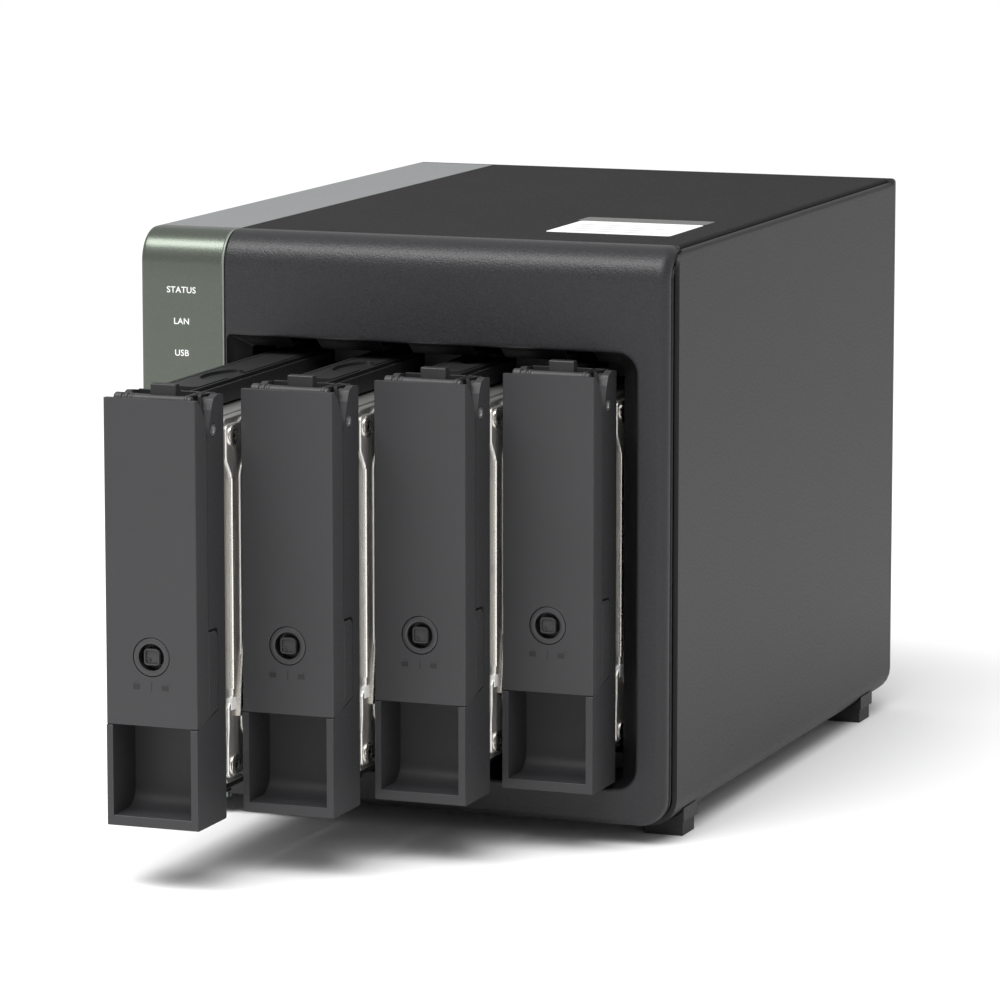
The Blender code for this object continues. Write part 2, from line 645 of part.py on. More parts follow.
def build_rear_panel():
    outline = [(LEFT, TOP - EDGE_RADIUS)] + under_edge(-1, 0) + under_edge(1, 0)[::-1]
    outline += arc((RIGHT - EDGE_RADIUS, TOP - EDGE_RADIUS), EDGE_RADIUS, 0, 90, 3)
    outline += arc((LEFT + EDGE_RADIUS, TOP - EDGE_RADIUS), EDGE_RADIUS, 90, 180, 3)[:-1]
    panel = slab("rear_panel", outline, "y", BACK - REAR_WALL, BACK)
    y0, y1 = BACK - REAR_WALL - OVER, BACK + OVER
    cut(panel, drum("rear_fan_hole", (FAN_X, y0, FAN_Z), (FAN_X, y1, FAN_Z), FAN_BORE_R, 40))
    for name, (low, high), _ in rear_sockets():
        margin = Vector((GAP, OVER, GAP))
        cut(panel, block(name + "_window", Vector(low) - margin, Vector(high) + margin))
    x = reset_x()
    cut(panel, drum("reset_hole", (x, y0, RESET_Z), (x, y1, RESET_Z), RESET_R + GAP, 12))
    return finish(panel, looks["rear_steel"])


def rear_sockets():
    """Each rear socket: its name, its two corners, and the boxes of its cavities."""
    x0 = LEFT + MAIN_BOARD_X + BOARD_T + GAP
    y1 = BACK - GAP
    sockets = []
    for name, width, length, (z0, z1), size, number in (
        ("lan_ports", LAN_W, LAN_L, LAN_Z, LAN_CAVITY, 2),
        ("rear_usb_ports", REAR_USB_W, LAN_L, REAR_USB_Z, REAR_USB_CAVITY, 2),
    ):
        across, up, deep = size
        cavities = []
        for i in range(number):
            if name == "lan_ports":
                x, z = x0 + width / 2, z0 + (z1 - z0) * (i + 0.5) / number
            else:
                x, z = x0 + width * (i + 0.5) / number, (z0 + z1) / 2
            low = (x - across / 2, y1 - deep, z - up / 2)
            cavities.append((low, (x + across / 2, y1 + OVER, z + up / 2)))
        sockets.append((name, ((x0, y1 - length, z0), (x0 + width, y1, z1)), cavities))
    jack = ((x0, y1 - JACK_L, JACK_Z[0]), (x0 + JACK_W, y1, JACK_Z[1]))
    sockets.append(("power_jack", jack, []))
    return sockets


def reset_x():
    return LEFT + MAIN_BOARD_X + BOARD_T + JACK_W / 2


def build_rear_sockets():
    for name, (low, high), cavities in rear_sockets():
        housing = block(name, low, high)
        for number, (near, far) in enumerate(cavities):
            cut(housing, block(f"{name}_cavity_{number}", near, far))
        if not cavities:
            x, z = (low[0] + high[0]) / 2, (low[2] + high[2]) / 2
            start, end = (x, high[1] - JACK_BORE_D, z), (x, high[1] + OVER, z)
            cut(housing, drum("jack_bore", start, end, JACK_BORE_R, 16))
            pin_end = (x, high[1] - JACK_PIN_SUNK, z)
            fuse(housing, drum("jack_pin", (x, start[1] - OVER, z), pin_end, JACK_PIN_R, 8))
        finish(housing, looks["black_plastic"] if name == "power_jack" else looks["steel"])


def build_reset_button():
    place = (reset_x(), BACK - RESET_SPAN[1], RESET_Z)
    pivot = pivot_at("reset_button_pivot", place)
    inner_end = (place[0], BACK - RESET_SPAN[0], RESET_Z)
    button = drum("reset_button", inner_end, place, RESET_R, 12)
    return finish(button, looks["black_plastic"], pivot)


def build_base_pan():
    """Floor above the side covers' flaps, with a lower middle between them and a row of slots."""
    y0 = FRONT + FRONT_SIDE_D + GAP
    z0 = BOTTOM + COVER_WALL + GAP
    low = (LEFT + UNDER_RADIUS + BASE_SIDE, y0, z0)
    high = (RIGHT - UNDER_RADIUS - BASE_SIDE, INNER_BACK, z0 + BASE_WALL)
    pan = block("base_pan", low, high)
    middle = block(
        "base_middle",
        (LEFT + UNDER_FLAP + GAP, y0, BOTTOM + GAP),
        (RIGHT - UNDER_FLAP - GAP, INNER_BACK, z0 + BASE_WALL / 2),
    )
    fuse(pan, middle)
    width, length = BASE_SLOT
    for i in range(BASE_SLOTS):
        low = (LEFT + UNDER_FLAP + BASE_SLOT_X + i * BASE_SLOT_PITCH, FRONT + BASE_SLOT_Y, 0)
        high = (low[0] + width, low[1] + length, z0 + BASE_WALL + OVER)
        cut(pan, block(f"base_slot_{i}", low, high))
    return finish(pan, looks["rear_steel"])


def build_feet():
    """Pads whose tops follow the side covers' rolled edges."""
    number = 0
    for side in (-1, 1):
        outer = side * (CABINET_W / 2 - FOOT_SIDE)
        inner = outer - side * FOOT_W
        roll = [p for p in under_edge(side, -GAP) if abs(p[0]) < abs(outer) - FOOT_LAND]
        reach = UNDER_RADIUS + GAP
        drop = math.sqrt(reach**2 - (UNDER_RADIUS - FOOT_SIDE) ** 2)
        outline = [(outer, 0), (outer, BOTTOM + UNDER_RADIUS - drop)] + roll
        outline += [(inner, BOTTOM - GAP), (inner, 0)]
        front = FRONT + FOOT_FRONT_Y
        rear = BACK - FOOT_REAR_Y
        for y0, y1 in ((front, front + FOOT_L), (rear - FOOT_L, rear)):
            number += 1
            finish(slab(f"foot_{number}", outline, "y", y0, y1), looks["rubber"])


def tray_left(number):
    return LEFT + FIRST_TRAY_X + (number - 1) * TRAY_PITCH


def drive_heights():
    middle = (TRAY_BOTTOM + TRAY_TOP) / 2 + GAP
    return middle - DRIVE_H / 2, middle + DRIVE_H / 2


def build_drive_cage():
    """Walls on the base pan, a floor and a ceiling, with ribs that guide the trays' rails."""
    y0 = FRONT + FRONT_TOP_D + GAP
    rib_start = FRONT + SEAT_D + FRAME_D + RIB_START
    feet = BOTTOM + COVER_WALL + BASE_WALL + 2 * GAP
    x0, x1 = BAYS_LEFT - CAGE_WALL, BAYS_RIGHT + CAGE_WALL
    cage = block("drive_cage", (x0, y0, feet), (x1, CAGE_BACK, CAGE_TOP + CAGE_WALL))
    front_end, rear_end = y0 - OVER, CAGE_BACK + OVER
    bays = block(
        "cage_bays", (BAYS_LEFT, front_end, CAGE_FLOOR), (BAYS_RIGHT, rear_end, CAGE_TOP)
    )
    under = block(
        "cage_under", (BAYS_LEFT, front_end, 0), (BAYS_RIGHT, rear_end, CAGE_FLOOR - CAGE_WALL)
    )
    cut(cage, bays, under)
    drive_low, drive_high = drive_heights()
    for number in range(TRAYS + 1):
        rail_end = tray_left(number) + RAIL_X + RAIL_W + RIB_CLEAR
        rib_x0 = BAYS_LEFT - CAGE_WALL / 2 if number == 0 else rail_end
        next_rail = tray_left(number + 1) + RAIL_X - RIB_CLEAR
        rib_x1 = BAYS_RIGHT + CAGE_WALL / 2 if number == TRAYS else next_rail
        rib_end = CAGE_BACK - RIB_SHORT
        lower = block(
            f"cage_lower_rib_{number}",
            (rib_x0, rib_start, CAGE_FLOOR - CAGE_WALL / 2),
            (rib_x1, rib_end, min(CAGE_FLOOR + RIB_H, drive_low - RIB_CLEAR)),
        )
        upper = block(
            f"cage_upper_rib_{number}",
            (rib_x0, rib_start, max(TRAY_TOP - RIB_H, drive_high + RIB_CLEAR)),
            (rib_x1, rib_end, CAGE_TOP + CAGE_WALL / 2),
        )
        fuse(cage, lower, upper)
    return finish(cage, looks["cage"])


def build_backplane():
    """Board across the cage's back, with rows of vents above one socket for each drive."""
    board = block(
        "backplane_board",
        (BAYS_LEFT - CAGE_WALL, BACKPLANE_Y, CAGE_FLOOR),
        (BAYS_RIGHT + CAGE_WALL, BACKPLANE_Y + BOARD_T, CAGE_TOP),
    )
    width, height = VENT
    first = SOCKET_Z + SOCKET_H + VENT_START
    rows = 1 + int((CAGE_TOP - VENT_EDGE - height - first) / VENT_PITCH)
    for row in range(rows):
        z = first + row * VENT_PITCH
        for number in range(1, TRAYS + 1):
            x = tray_left(number) + TRAY_W / 2
            vent = block(
                f"backplane_vent_{row}_{number}",
                (x - width / 2, BACKPLANE_Y - OVER, z),
                (x + width / 2, BACKPLANE_Y + BOARD_T + OVER, z + height),
            )
            cut(board, vent)
    finish(board, looks["board"])
    wall = SOCKET_WALL
    for number in range(1, TRAYS + 1):
        low = Vector((tray_left(number) + RAIL_X, SOCKET_FRONT, SOCKET_Z))
        high = low + Vector((SOCKET_W, SOCKET_D, SOCKET_H))
        socket = block(f"sata_socket_{number}", low, high)
        slot = block(
            f"sata_slot_{number}",
            (low.x + wall, low.y - OVER, low.z + wall),
            (high.x - wall, low.y + SOCKET_SLOT_D, high.z - wall),
        )
        finish(cut(socket, slot), looks["black_plastic"])


def build_main_board():
    """Upright board beside the bays, on posts against the left cover."""
    x0 = LEFT + MAIN_BOARD_X
    y0, y1 = FRONT + MAIN_BOARD_Y, BACK - LAN_L / 2
    z0, z1 = MAIN_BOARD_Z, TOP - MAIN_BOARD_DROP
    board = block("main_board", (x0, y0, z0), (x0 + BOARD_T, y1, z1))
    for y in (y0 + POST_INSET, y1 - POST_INSET):
        for z in (z0 + POST_INSET, z1 - POST_INSET):
            start, end = (LEFT + COVER_WALL + GAP, y, z), (x0 + BOARD_T / 2, y, z)
            fuse(board, drum("board_post", start, end, POST_R, 10))
    finish(board, looks["board"])
    build_board_parts(x0 + BOARD_T + GAP, y0, z0)


def build_board_parts(face, y0, z0):
    """What stands on the main board, placed from the board's lower front corner."""
    low = Vector((face, y0 + SINK_Y, z0 + SINK_Z))
    heat_sink = block("heat_sink", low, low + Vector((SINK_BASE, SINK, SINK)))
    for i in range(FINS):
        start = low + Vector((SINK_BASE - OVER, 0, i * FIN_PITCH))
        size = Vector((SINK_H - SINK_BASE + OVER, SINK, FIN_T))
        fuse(heat_sink, block(f"fin_{i}", start, start + size))
    finish(heat_sink, looks["aluminium"])
    (my0, my1), (mz0, mz1) = MEMORY_Y, MEMORY_Z
    low, high = (face, y0 + my0, z0 + mz0), (face + MEMORY_T, y0 + my1, z0 + mz1)
    finish(block("memory_module", low, high, 0, MEMORY_EDGE, 1), looks["board"])
    y, z = y0 + CELL_YZ[0], z0 + CELL_YZ[1]
    finish(drum("coin_cell", (face, y, z), (face + CELL_T, y, z), CELL_R), looks["steel"])


def build_fan():
    """Square frame with a motor mount on four struts, the rotor, and the wire guard behind it."""
    half = FAN_SIZE / 2
    y1 = FAN_BACK
    y0 = y1 - FAN_D
    low, high = (FAN_X - half, y0, FAN_Z - half), (FAN_X + half, y1, FAN_Z + half)
    frame = block("fan_frame", low, high, 1, FAN_EDGE)
    start, end = (FAN_X, y0 - OVER, FAN_Z), (FAN_X, y1 + OVER, FAN_Z)
    cut(frame, drum("fan_bore", start, end, FAN_BORE_R, 40))
    mount_front = y1 - FAN_MOUNT_D
    mount = drum("fan_mount", (FAN_X, mount_front, FAN_Z), (FAN_X, y1 - GAP, FAN_Z), HUB_R, 24)
    fuse(frame, mount)
    reach = FAN_BORE_R + STRUT_REACH
    for i in range(2):
        low = (FAN_X - reach, mount_front, FAN_Z - STRUT_W / 2)
        high = (FAN_X + reach, y1 - 2 * GAP, FAN_Z + STRUT_W / 2)
        strut = block(f"fan_strut_{i}", low, high)
        strut.rotation_euler = (0, math.radians(45 + 90 * i), 0)
        fuse(frame, strut)
    finish(frame, looks["black_plastic"])
    pivot = pivot_at("fan_pivot", (FAN_X, (y0 + mount_front) / 2, FAN_Z))
    hub_start, hub_end = y0 + HUB_INSET, mount_front - 2 * GAP
    rotor = drum("fan_rotor", (FAN_X, hub_start, FAN_Z), (FAN_X, hub_end, FAN_Z), HUB_R, 28)
    for i in range(BLADES):
        turn = math.radians(360 * i / BLADES)
        fuse(rotor, fan_blade(f"blade_{i}", hub_start + BLADE_INSET, hub_end - BLADE_INSET, turn))
    finish(rotor, looks["black_plastic"], pivot)
    build_fan_guard(y1 + GAP + GUARD_R)


def fan_blade(name, y0, y1, turn):
    """A blade lofted from the hub to its tip, steeper and thicker at the hub."""
    root, tip = HUB_R - BLADE_ROOT, FAN_BORE_R - BLADE_TIP_ROOM
    steps = 3
    sections = []
    for i in range(steps + 1):
        share = i / steps
        radius = root + (tip - root) * share
        spread = math.radians(BLADE_SPREAD[0] + (BLADE_SPREAD[1] - BLADE_SPREAD[0]) * share)
        thick = BLADE_T[0] + (BLADE_T[1] - BLADE_T[0]) * share
        middle = turn + math.radians(BLADE_SWEEP * share)
        corners = ((-spread, y0), (spread, y1 - thick), (spread, y1), (-spread, y0 + thick))
        loop = []
        for angle, y in corners:
            a = middle + angle
            loop.append((FAN_X + radius * math.sin(a), y, FAN_Z + radius * math.cos(a)))
        sections.append(loop)
    return loft(name, sections)


def build_fan_guard(y):
    """Wire rings joined by two crossed wires that end at the frame's corners."""
    reach = FAN_SIZE / 2 * GUARD_REACH
    middle = Vector((FAN_X, y, FAN_Z))
    wires = []
    for i, thick in enumerate((GUARD_R, GUARD_CROSS_R)):
        a = math.radians(45 + 90 * i)
        run = Vector((math.cos(a) * reach, 0, math.sin(a) * reach))
        wires.append(drum(f"guard_wire_{i}", middle - run, middle + run, thick, 6))
    guard = fuse(*wires)
    guard.name = "fan_guard"
    rings = 1 + int((FAN_BORE_R - GUARD_FIRST) / GUARD_STEP)
    for i in range(rings):
        bpy.ops.mesh.primitive_torus_add(
            location=middle,
            rotation=(math.radians(90), 0, 0),
            major_radius=GUARD_FIRST + i * GUARD_STEP,
            minor_radius=GUARD_RING_R,
            major_segments=28,
            minor_segments=6,
        )
        ring = bpy.context.object
        ring.name = f"guard_ring_{i}"
        for owner in list(ring.users_collection):
            owner.objects.unlink(ring)
        parts.objects.link(ring)
        fuse(guard, ring)
    return finish(guard, looks["steel"])


def frame_outline(front):
    """Side wall of a tray's frame, as (y, z): low in front, cut back behind the handle above."""
    back = front + FRAME_D
    bump_back = front + BUMP_D + 1.5 * GAP
    bump_low = HANDLE_BOTTOM + BUMP_RISE - GAP
    bump_high = BUMP_TOP + 2.5 * GAP
    wall_front = front + FLANGE_D + GAP
    outline = [(front, TRAY_BOTTOM), (back, TRAY_BOTTOM), (back, TRAY_TOP - FRAME_TOP_DROP)]
    outline += [(back - ahead, TRAY_TOP - below) for ahead, below in FRAME_NOSE]
    outline += [(wall_front, PIN_Z - FRAME_SHOULDER), (wall_front, bump_high)]
    outline += [(bump_back, bump_high)]
    return outline + [(bump_back, bump_low), (front, HANDLE_BOTTOM - GAP)]


def build_tray_frame(number, left, front, pivot):
    """Two side walls, a back wall, the finger recess, and the rails that carry the drive."""
    right = left + TRAY_W
    back = front + FRAME_D
    frame = slab(f"tray_frame_{number}", frame_outline(front), "x", left, right)
    inside = left + FRAME_WALL, right - FRAME_WALL
    handle_room = block(
        f"frame_handle_room_{number}",
        (inside[0], front - OVER, HANDLE_BOTTOM - OVER),
        (inside[1], back - FRAME_BACK, TRAY_TOP + OVER),
    )
    recess = block(
        f"frame_recess_{number}",
        (inside[0], front - OVER, TRAY_BOTTOM + RECESS_FLOOR),
        (inside[1], front + RECESS_BACK, HANDLE_BOTTOM + OVER),
    )
    cut(frame, handle_room, recess)
    drive_low, drive_high = drive_heights()
    rail_x = left + RAIL_X, left + RAIL_X + RAIL_W
    lower = block(
        f"frame_lower_rail_{number}",
        (rail_x[0], back - OVER, TRAY_BOTTOM + CLIP_H + 2 * GAP),
        (rail_x[1], back + RAIL_D, drive_low - 2 * GAP),
    )
    upper = block(
        f"frame_upper_rail_{number}",
        (rail_x[0], back - OVER, drive_high + 2 * GAP),
        (rail_x[1], back + RAIL_D, TRAY_TOP - CLIP_DROP - CLIP_H - GAP),
    )
    fuse(frame, lower, upper)
    pin_y = front + PIN_D
    start, end = (left - OVER, pin_y, PIN_Z), (right + OVER, pin_y, PIN_Z)
    cut(frame, drum(f"frame_pin_hole_{number}", start, end, PIN_R + GAP, 16))
    return finish(frame, looks["tray"], pivot)


def flange_outline(front):
    """Side of a handle, as (y, z): narrow above, wider at the grip, its upper corner rounded off."""
    outline = [(front, HANDLE_BOTTOM), (front + BUMP_D, HANDLE_BOTTOM + BUMP_RISE)]
    corner = (front + BUMP_D - BUMP_RADIUS, BUMP_TOP - BUMP_RADIUS)
    outline += arc(corner, BUMP_RADIUS, 0, 90, 3)
    outline += [(front + FLANGE_D, BUMP_TOP)]
    steps = 6
    for i in range(steps + 1):
        a = math.radians(90 * i / steps)
        outline.append((front + FLANGE_D * math.cos(a), PIN_Z + PIN_DROP * math.sin(a)))
    return outline


def ear_outline(front):
    """Arm from a handle's plate to its pin, as (y, z)."""
    pin_y = front + PIN_D
    outline = [(front + HANDLE_WALL / 2, PIN_Z - EAR_R - EAR_ROOT)]
    outline += arc((pin_y, PIN_Z), EAR_R, -60, 90, 6)
    return outline + [(front + HANDLE_WALL / 2, PIN_Z + EAR_R)]


def build_handle(number, left, front, tray_pivot):
    """Front plate with two flanges, two ears on the pin, and the hook on its upper edge."""
    right = left + TRAY_W
    pin_y = front + PIN_D
    pivot = pivot_at(f"handle_{number}_pivot", (left + TRAY_W / 2, pin_y, PIN_Z), tray_pivot)
    handle = slab(f"handle_{number}", flange_outline(front), "x", left, right)
    hollow = block(
        f"handle_hollow_{number}",
        (left + FRAME_WALL, front + HANDLE_WALL, HANDLE_BOTTOM - OVER),
        (right - FRAME_WALL, front + FRAME_D, TRAY_TOP + OVER),
    )
    cut(handle, hollow)
    for i, x in enumerate((left + FRAME_WALL + GAP, right - FRAME_WALL - GAP - EAR_W)):
        fuse(handle, slab(f"ear_{number}_{i}", ear_outline(front), "x", x, x + EAR_W))
    hook_x = left + HOOK_X, left + HOOK_X + HOOK_W
    hook = block(
        f"hook_{number}",
        (hook_x[0], front + HOOK_D[0], TRAY_TOP - (HOOK_ROOT[0] + HOOK_ROOT[1]) / 2),
        (hook_x[1], front + HOOK_D[1], HOOK_TOP),
    )
    hook_root = block(
        f"hook_root_{number}",
        (hook_x[0], front + HANDLE_WALL / 2, TRAY_TOP - HOOK_ROOT[0]),
        (hook_x[1], front + HOOK_D[1], TRAY_TOP - HOOK_ROOT[1]),
    )
    fuse(handle, hook_root, hook)
    start, end = (left - OVER, pin_y, PIN_Z), (right + OVER, pin_y, PIN_Z)
    cut(handle, drum(f"ear_holes_{number}", start, end, PIN_R + GAP, 16))
    lock_x = left + TRAY_W / 2
    start, end = (lock_x, front - OVER, LOCK_Z), (lock_x, front + HANDLE_WALL + OVER, LOCK_Z)
    cut(handle, drum(f"lock_hole_{number}", start, end, LOCK_R + GAP))
    finish(handle, looks["tray"], pivot)
    build_lock(number, lock_x, front, pivot)


def build_lock(number, x, front, handle_pivot):
    """Round lock with a square core in a groove, and a cam behind the handle's plate."""
    pivot = pivot_at(f"lock_{number}_pivot", (x, front, LOCK_Z), handle_pivot)
    rear = front + LOCK_D
    lock = drum(f"lock_{number}", (x, front + LOCK_SUNK, LOCK_Z), (x, rear, LOCK_Z), LOCK_R)
    start, end = (x, front - OVER, LOCK_Z), (x, front + LOCK_GROOVE_D, LOCK_Z)
    groove = drum(f"lock_groove_{number}", start, end, LOCK_GROOVE_R, 20)
    core = block(
        f"lock_core_{number}",
        (x - LOCK_CORE / 2, front + LOCK_CORE_SUNK, LOCK_Z - LOCK_CORE / 2),
        (x + LOCK_CORE / 2, front + LOCK_CORE_D, LOCK_Z + LOCK_CORE / 2),
        1,
        LOCK_CORE_EDGE,
        2,
    )
    cam = block(
        f"lock_cam_{number}",
        (x, rear - CAM_SPAN[0], LOCK_Z - CAM_W / 2),
        (x + LOCK_R + CAM_REACH, rear - CAM_SPAN[1], LOCK_Z + CAM_W / 2),
    )
    fuse(cut(lock, groove), core, cam)
    return finish(lock, looks["black_plastic"], pivot)


def build_drive(number, left, front, pivot):
    """Cast body with a slightly smaller lid on its right side and a notch for the plug."""
    y0 = front + FRAME_D + DRIVE_START
    y1 = y0 + DRIVE_L
    z0, z1 = drive_heights()
    x0 = left + (TRAY_W - DRIVE_T) / 2
    x1 = x0 + DRIVE_T
    body_end = x1 - DRIVE_LID
    drive = block(f"drive_{number}", (x0, y0, z0), (body_end, y1, z1), 0, DRIVE_EDGE, 2)
    inset = DRIVE_LID_INSET
    low, high = (body_end - OVER, y0 + inset, z0 + inset), (x1, y1 - inset, z1 - inset)
    lid = block(f"drive_lid_{number}", low, high, 0, DRIVE_LID_EDGE, 2)
    notch = block(
        f"drive_notch_{number}",
        (x0 - OVER, y1 - PLUG_NOTCH_D, SOCKET_Z - PLUG_NOTCH_ROOM),
        (x0 + PLUG_NOTCH_T, y1 + OVER, SOCKET_Z + SOCKET_H + PLUG_NOTCH_ROOM),
    )
    return finish(cut(fuse(drive, lid), notch), looks["drive"], pivot)


def build_clips(number, left, front, pivot):
    """Snap-on rails above and below the drive, with a finger scoop in the upper one."""
    y0 = front + FRAME_D + CLIP_START
    x0, x1 = left + RAIL_X + CLIP_SIDES[0], left + RAIL_X + RAIL_W - CLIP_SIDES[1]
    top = TRAY_TOP - CLIP_DROP - CLIP_H
    for name, z in (("upper_clip", top), ("lower_clip", TRAY_BOTTOM + GAP)):
        low, high = (x0, y0, z), (x1, y0 + CLIP_L, z + CLIP_H)
        clip = block(f"{name}_{number}", low, high, 2, CLIP_EDGE, 2)
        x, y = x1 + SCOOP_X, y0 + SCOOP_Y
        start, end = (x, y, z - OVER), (x, y, z + CLIP_H + OVER)
        scoop = drum(f"{name}_scoop_{number}", start, end, SCOOP_R)
        finish(cut(clip, scoop), looks["tray"], pivot)


def build_tray(number):
    left = tray_left(number)
    front = FRONT - REST_PULL[number - 1]
    pivot = pivot_at(f"tray_{number}_pivot", (left + TRAY_W / 2, front, TRAY_BOTTOM))
    build_tray_frame(number, left, front, pivot)
    build_handle(number, left, front, pivot)
    pin_y = front + PIN_D
    start, end = (left + GAP / 2, pin_y, PIN_Z), (left + TRAY_W - GAP / 2, pin_y, PIN_Z)
    finish(drum(f"handle_pin_{number}", start, end, PIN_R, 12), looks["steel"], pivot)
    build_drive(number, left, front, pivot)
    build_clips(number, left, front, pivot)


clear_scene()
parts = new_collection("network_attached_storage")
helpers = new_collection("cutters")
looks = {
    "green_metallic": material("green_metallic", (0.115, 0.135, 0.11), 0.35, 0.6),
    "grey_gloss": material("grey_gloss", (0.35, 0.36, 0.36), 0.2),
    "dark_satin": material("dark_satin", (0.045, 0.046, 0.05), 0.4),
    "dark_texture": material("dark_texture", (0.03, 0.031, 0.034), 0.6),
    "black_grain": material("black_grain", (0.022, 0.023, 0.024), 0.55),
    "black_plastic": material("black_plastic", (0.015, 0.015, 0.015), 0.45),
    "tray": material("tray", (0.058, 0.058, 0.06), 0.5),
    "cage": material("cage", (0.02, 0.02, 0.021), 0.5),
    "rear_steel": material("rear_steel", (0.04, 0.04, 0.042), 0.45, 0.5),
    "steel": material("steel", (0.6, 0.6, 0.6), 0.3, 1.0),
    "aluminium": material("aluminium", (0.7, 0.7, 0.72), 0.35, 1.0),
    "drive": material("drive", (0.62, 0.62, 0.62), 0.25, 1.0),
    "board": material("board", (0.02, 0.12, 0.05), 0.5),
    "rubber": material("rubber", (0.012, 0.012, 0.012), 0.8),
    "clear": material("clear", (0.8, 0.8, 0.8), 0.1),
}
build_left_cover()
build_right_cover()
build_top_cover()
build_front_bezel()
build_indicator_strip()
build_light_pipe()
build_front_usb()
build_button("power_button", POWER_Z, POWER_R)
build_button("copy_button", COPY_Z, COPY_R)
build_rear_panel()
build_rear_sockets()
build_reset_button()
build_base_pan()
build_feet()
build_drive_cage()
build_backplane()
build_main_board()
build_fan()
for tray_number in range(1, TRAYS + 1):
    build_tray(tray_number)
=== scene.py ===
import json
import math

import bmesh
import bpy
import mathutils
import numpy as np
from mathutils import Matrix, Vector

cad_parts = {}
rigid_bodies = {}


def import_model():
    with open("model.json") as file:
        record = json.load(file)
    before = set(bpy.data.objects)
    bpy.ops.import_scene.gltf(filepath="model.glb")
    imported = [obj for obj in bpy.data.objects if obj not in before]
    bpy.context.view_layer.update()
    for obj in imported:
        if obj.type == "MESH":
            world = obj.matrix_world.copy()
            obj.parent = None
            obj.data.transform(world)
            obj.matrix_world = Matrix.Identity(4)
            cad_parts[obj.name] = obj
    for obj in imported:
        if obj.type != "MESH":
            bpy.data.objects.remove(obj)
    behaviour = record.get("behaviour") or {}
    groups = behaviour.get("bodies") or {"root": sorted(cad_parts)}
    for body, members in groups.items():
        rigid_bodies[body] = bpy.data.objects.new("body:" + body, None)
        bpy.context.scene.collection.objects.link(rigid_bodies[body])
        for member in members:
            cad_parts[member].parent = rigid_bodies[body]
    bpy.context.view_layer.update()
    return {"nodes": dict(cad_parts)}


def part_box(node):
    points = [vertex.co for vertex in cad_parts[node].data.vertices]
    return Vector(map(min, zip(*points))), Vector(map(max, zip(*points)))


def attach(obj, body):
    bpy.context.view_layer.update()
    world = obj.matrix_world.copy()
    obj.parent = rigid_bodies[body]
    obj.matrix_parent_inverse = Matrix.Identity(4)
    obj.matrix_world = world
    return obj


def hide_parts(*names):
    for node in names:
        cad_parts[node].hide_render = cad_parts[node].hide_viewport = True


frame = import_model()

mm = 0.001
trayCount = 4


def boxOf(name):
    # the low and high corner of a node's box, in mm like every other place below
    return [np.array(corner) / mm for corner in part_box(name)]


def arc(first, last, count):
    # evenly spaced angles, given in degrees
    return np.radians(np.linspace(first, last, count))


# shapes as arrays: every shell is (points, faces)

def gridFaces(rows, cols, closeRows=False, closeCols=False):
    # quads between neighbours of a rows x cols grid of points, wrapping round where it is closed
    i, j = np.meshgrid(
        np.arange(rows if closeRows else rows - 1), np.arange(cols if closeCols else cols - 1),
        indexing="ij",
    )
    nextI, nextJ = (i + 1) % rows, (j + 1) % cols
    quads = np.stack((i * cols + j, i * cols + nextJ, nextI * cols + nextJ, nextI * cols + j), -1)
    return quads.reshape(-1, 4).tolist()


def loft(loops, ring=False):
    # closed loops of equal length, each joined to the next; ring joins the last to the first, else both
    # ends are capped
    loops = np.asarray(loops, float)
    rows, cols = loops.shape[:2]
    faces = gridFaces(rows, cols, closeRows=ring, closeCols=True)
    if not ring:
        faces += [list(range(cols)), list(range((rows - 1) * cols, rows * cols))[::-1]]
    return loops.reshape(-1, 3), faces


def sheet(points):
    # an open grid of points; a Solidify modifier gives it its wall
    rows, cols = points.shape[:2]
    return points.reshape(-1, 3), gridFaces(rows, cols)


def rounded(corners, steps=5):
    # each corner (u, v, radius) becomes an arc that is tangent to both of its sides
    places = np.array([corner[:2] for corner in corners], float)
    outline = []
    for k, (u, v, radius) in enumerate(corners):
        here = places[k]
        if radius == 0:
            outline.append(here[None])
            continue
        back = places[k - 1] - here
        ahead = places[(k + 1) % len(corners)] - here
        back, ahead = back / np.linalg.norm(back), ahead / np.linalg.norm(ahead)
        half = math.acos(np.clip(back @ ahead, -1, 1)) / 2
        middle = here + (back + ahead) / np.linalg.norm(back + ahead) * radius / math.sin(half)
        start = here + back * radius / math.tan(half) - middle
        end = here + ahead * radius / math.tan(half) - middle
        turn = math.atan2(start[0] * end[1] - start[1] * end[0], start @ end)
        a = math.atan2(start[1], start[0]) + turn * np.linspace(0, 1, steps + 1)
        outline.append(middle + radius * np.stack((np.cos(a), np.sin(a)), -1))
    return np.concatenate(outline)


def box2(u0, u1, v0, v1, radius=0.0, steps=5):
    # a rectangle with four equal rounded corners
    return rounded([(u0, v0, radius), (u1, v0, radius), (u1, v1, radius), (u0, v1, radius)], steps)


def prism(outline, along, start, end):
    # the outline carried straight along one axis; its own axes are y, z for x, then x, z for y, and x, y
    # for z
    order = {"x": (2, 0, 1), "y": (0, 2, 1), "z": (0, 1, 2)}[along]
    loops = []
    for place in (start, end):
        flat = np.column_stack((outline, np.full(len(outline), place)))
        loops.append(flat[:, order])
    return loft(loops)


def block(low, high, radius=0.0, along="y"):
    # a box from corner to corner whose edges along one axis are rounded
    low, high = np.asarray(low, float), np.asarray(high, float)
    u, v, w = {"x": (1, 2, 0), "y": (0, 2, 1), "z": (0, 1, 2)}[along]
    return prism(box2(low[u], high[u], low[v], high[v], radius), along, low[w], high[w])


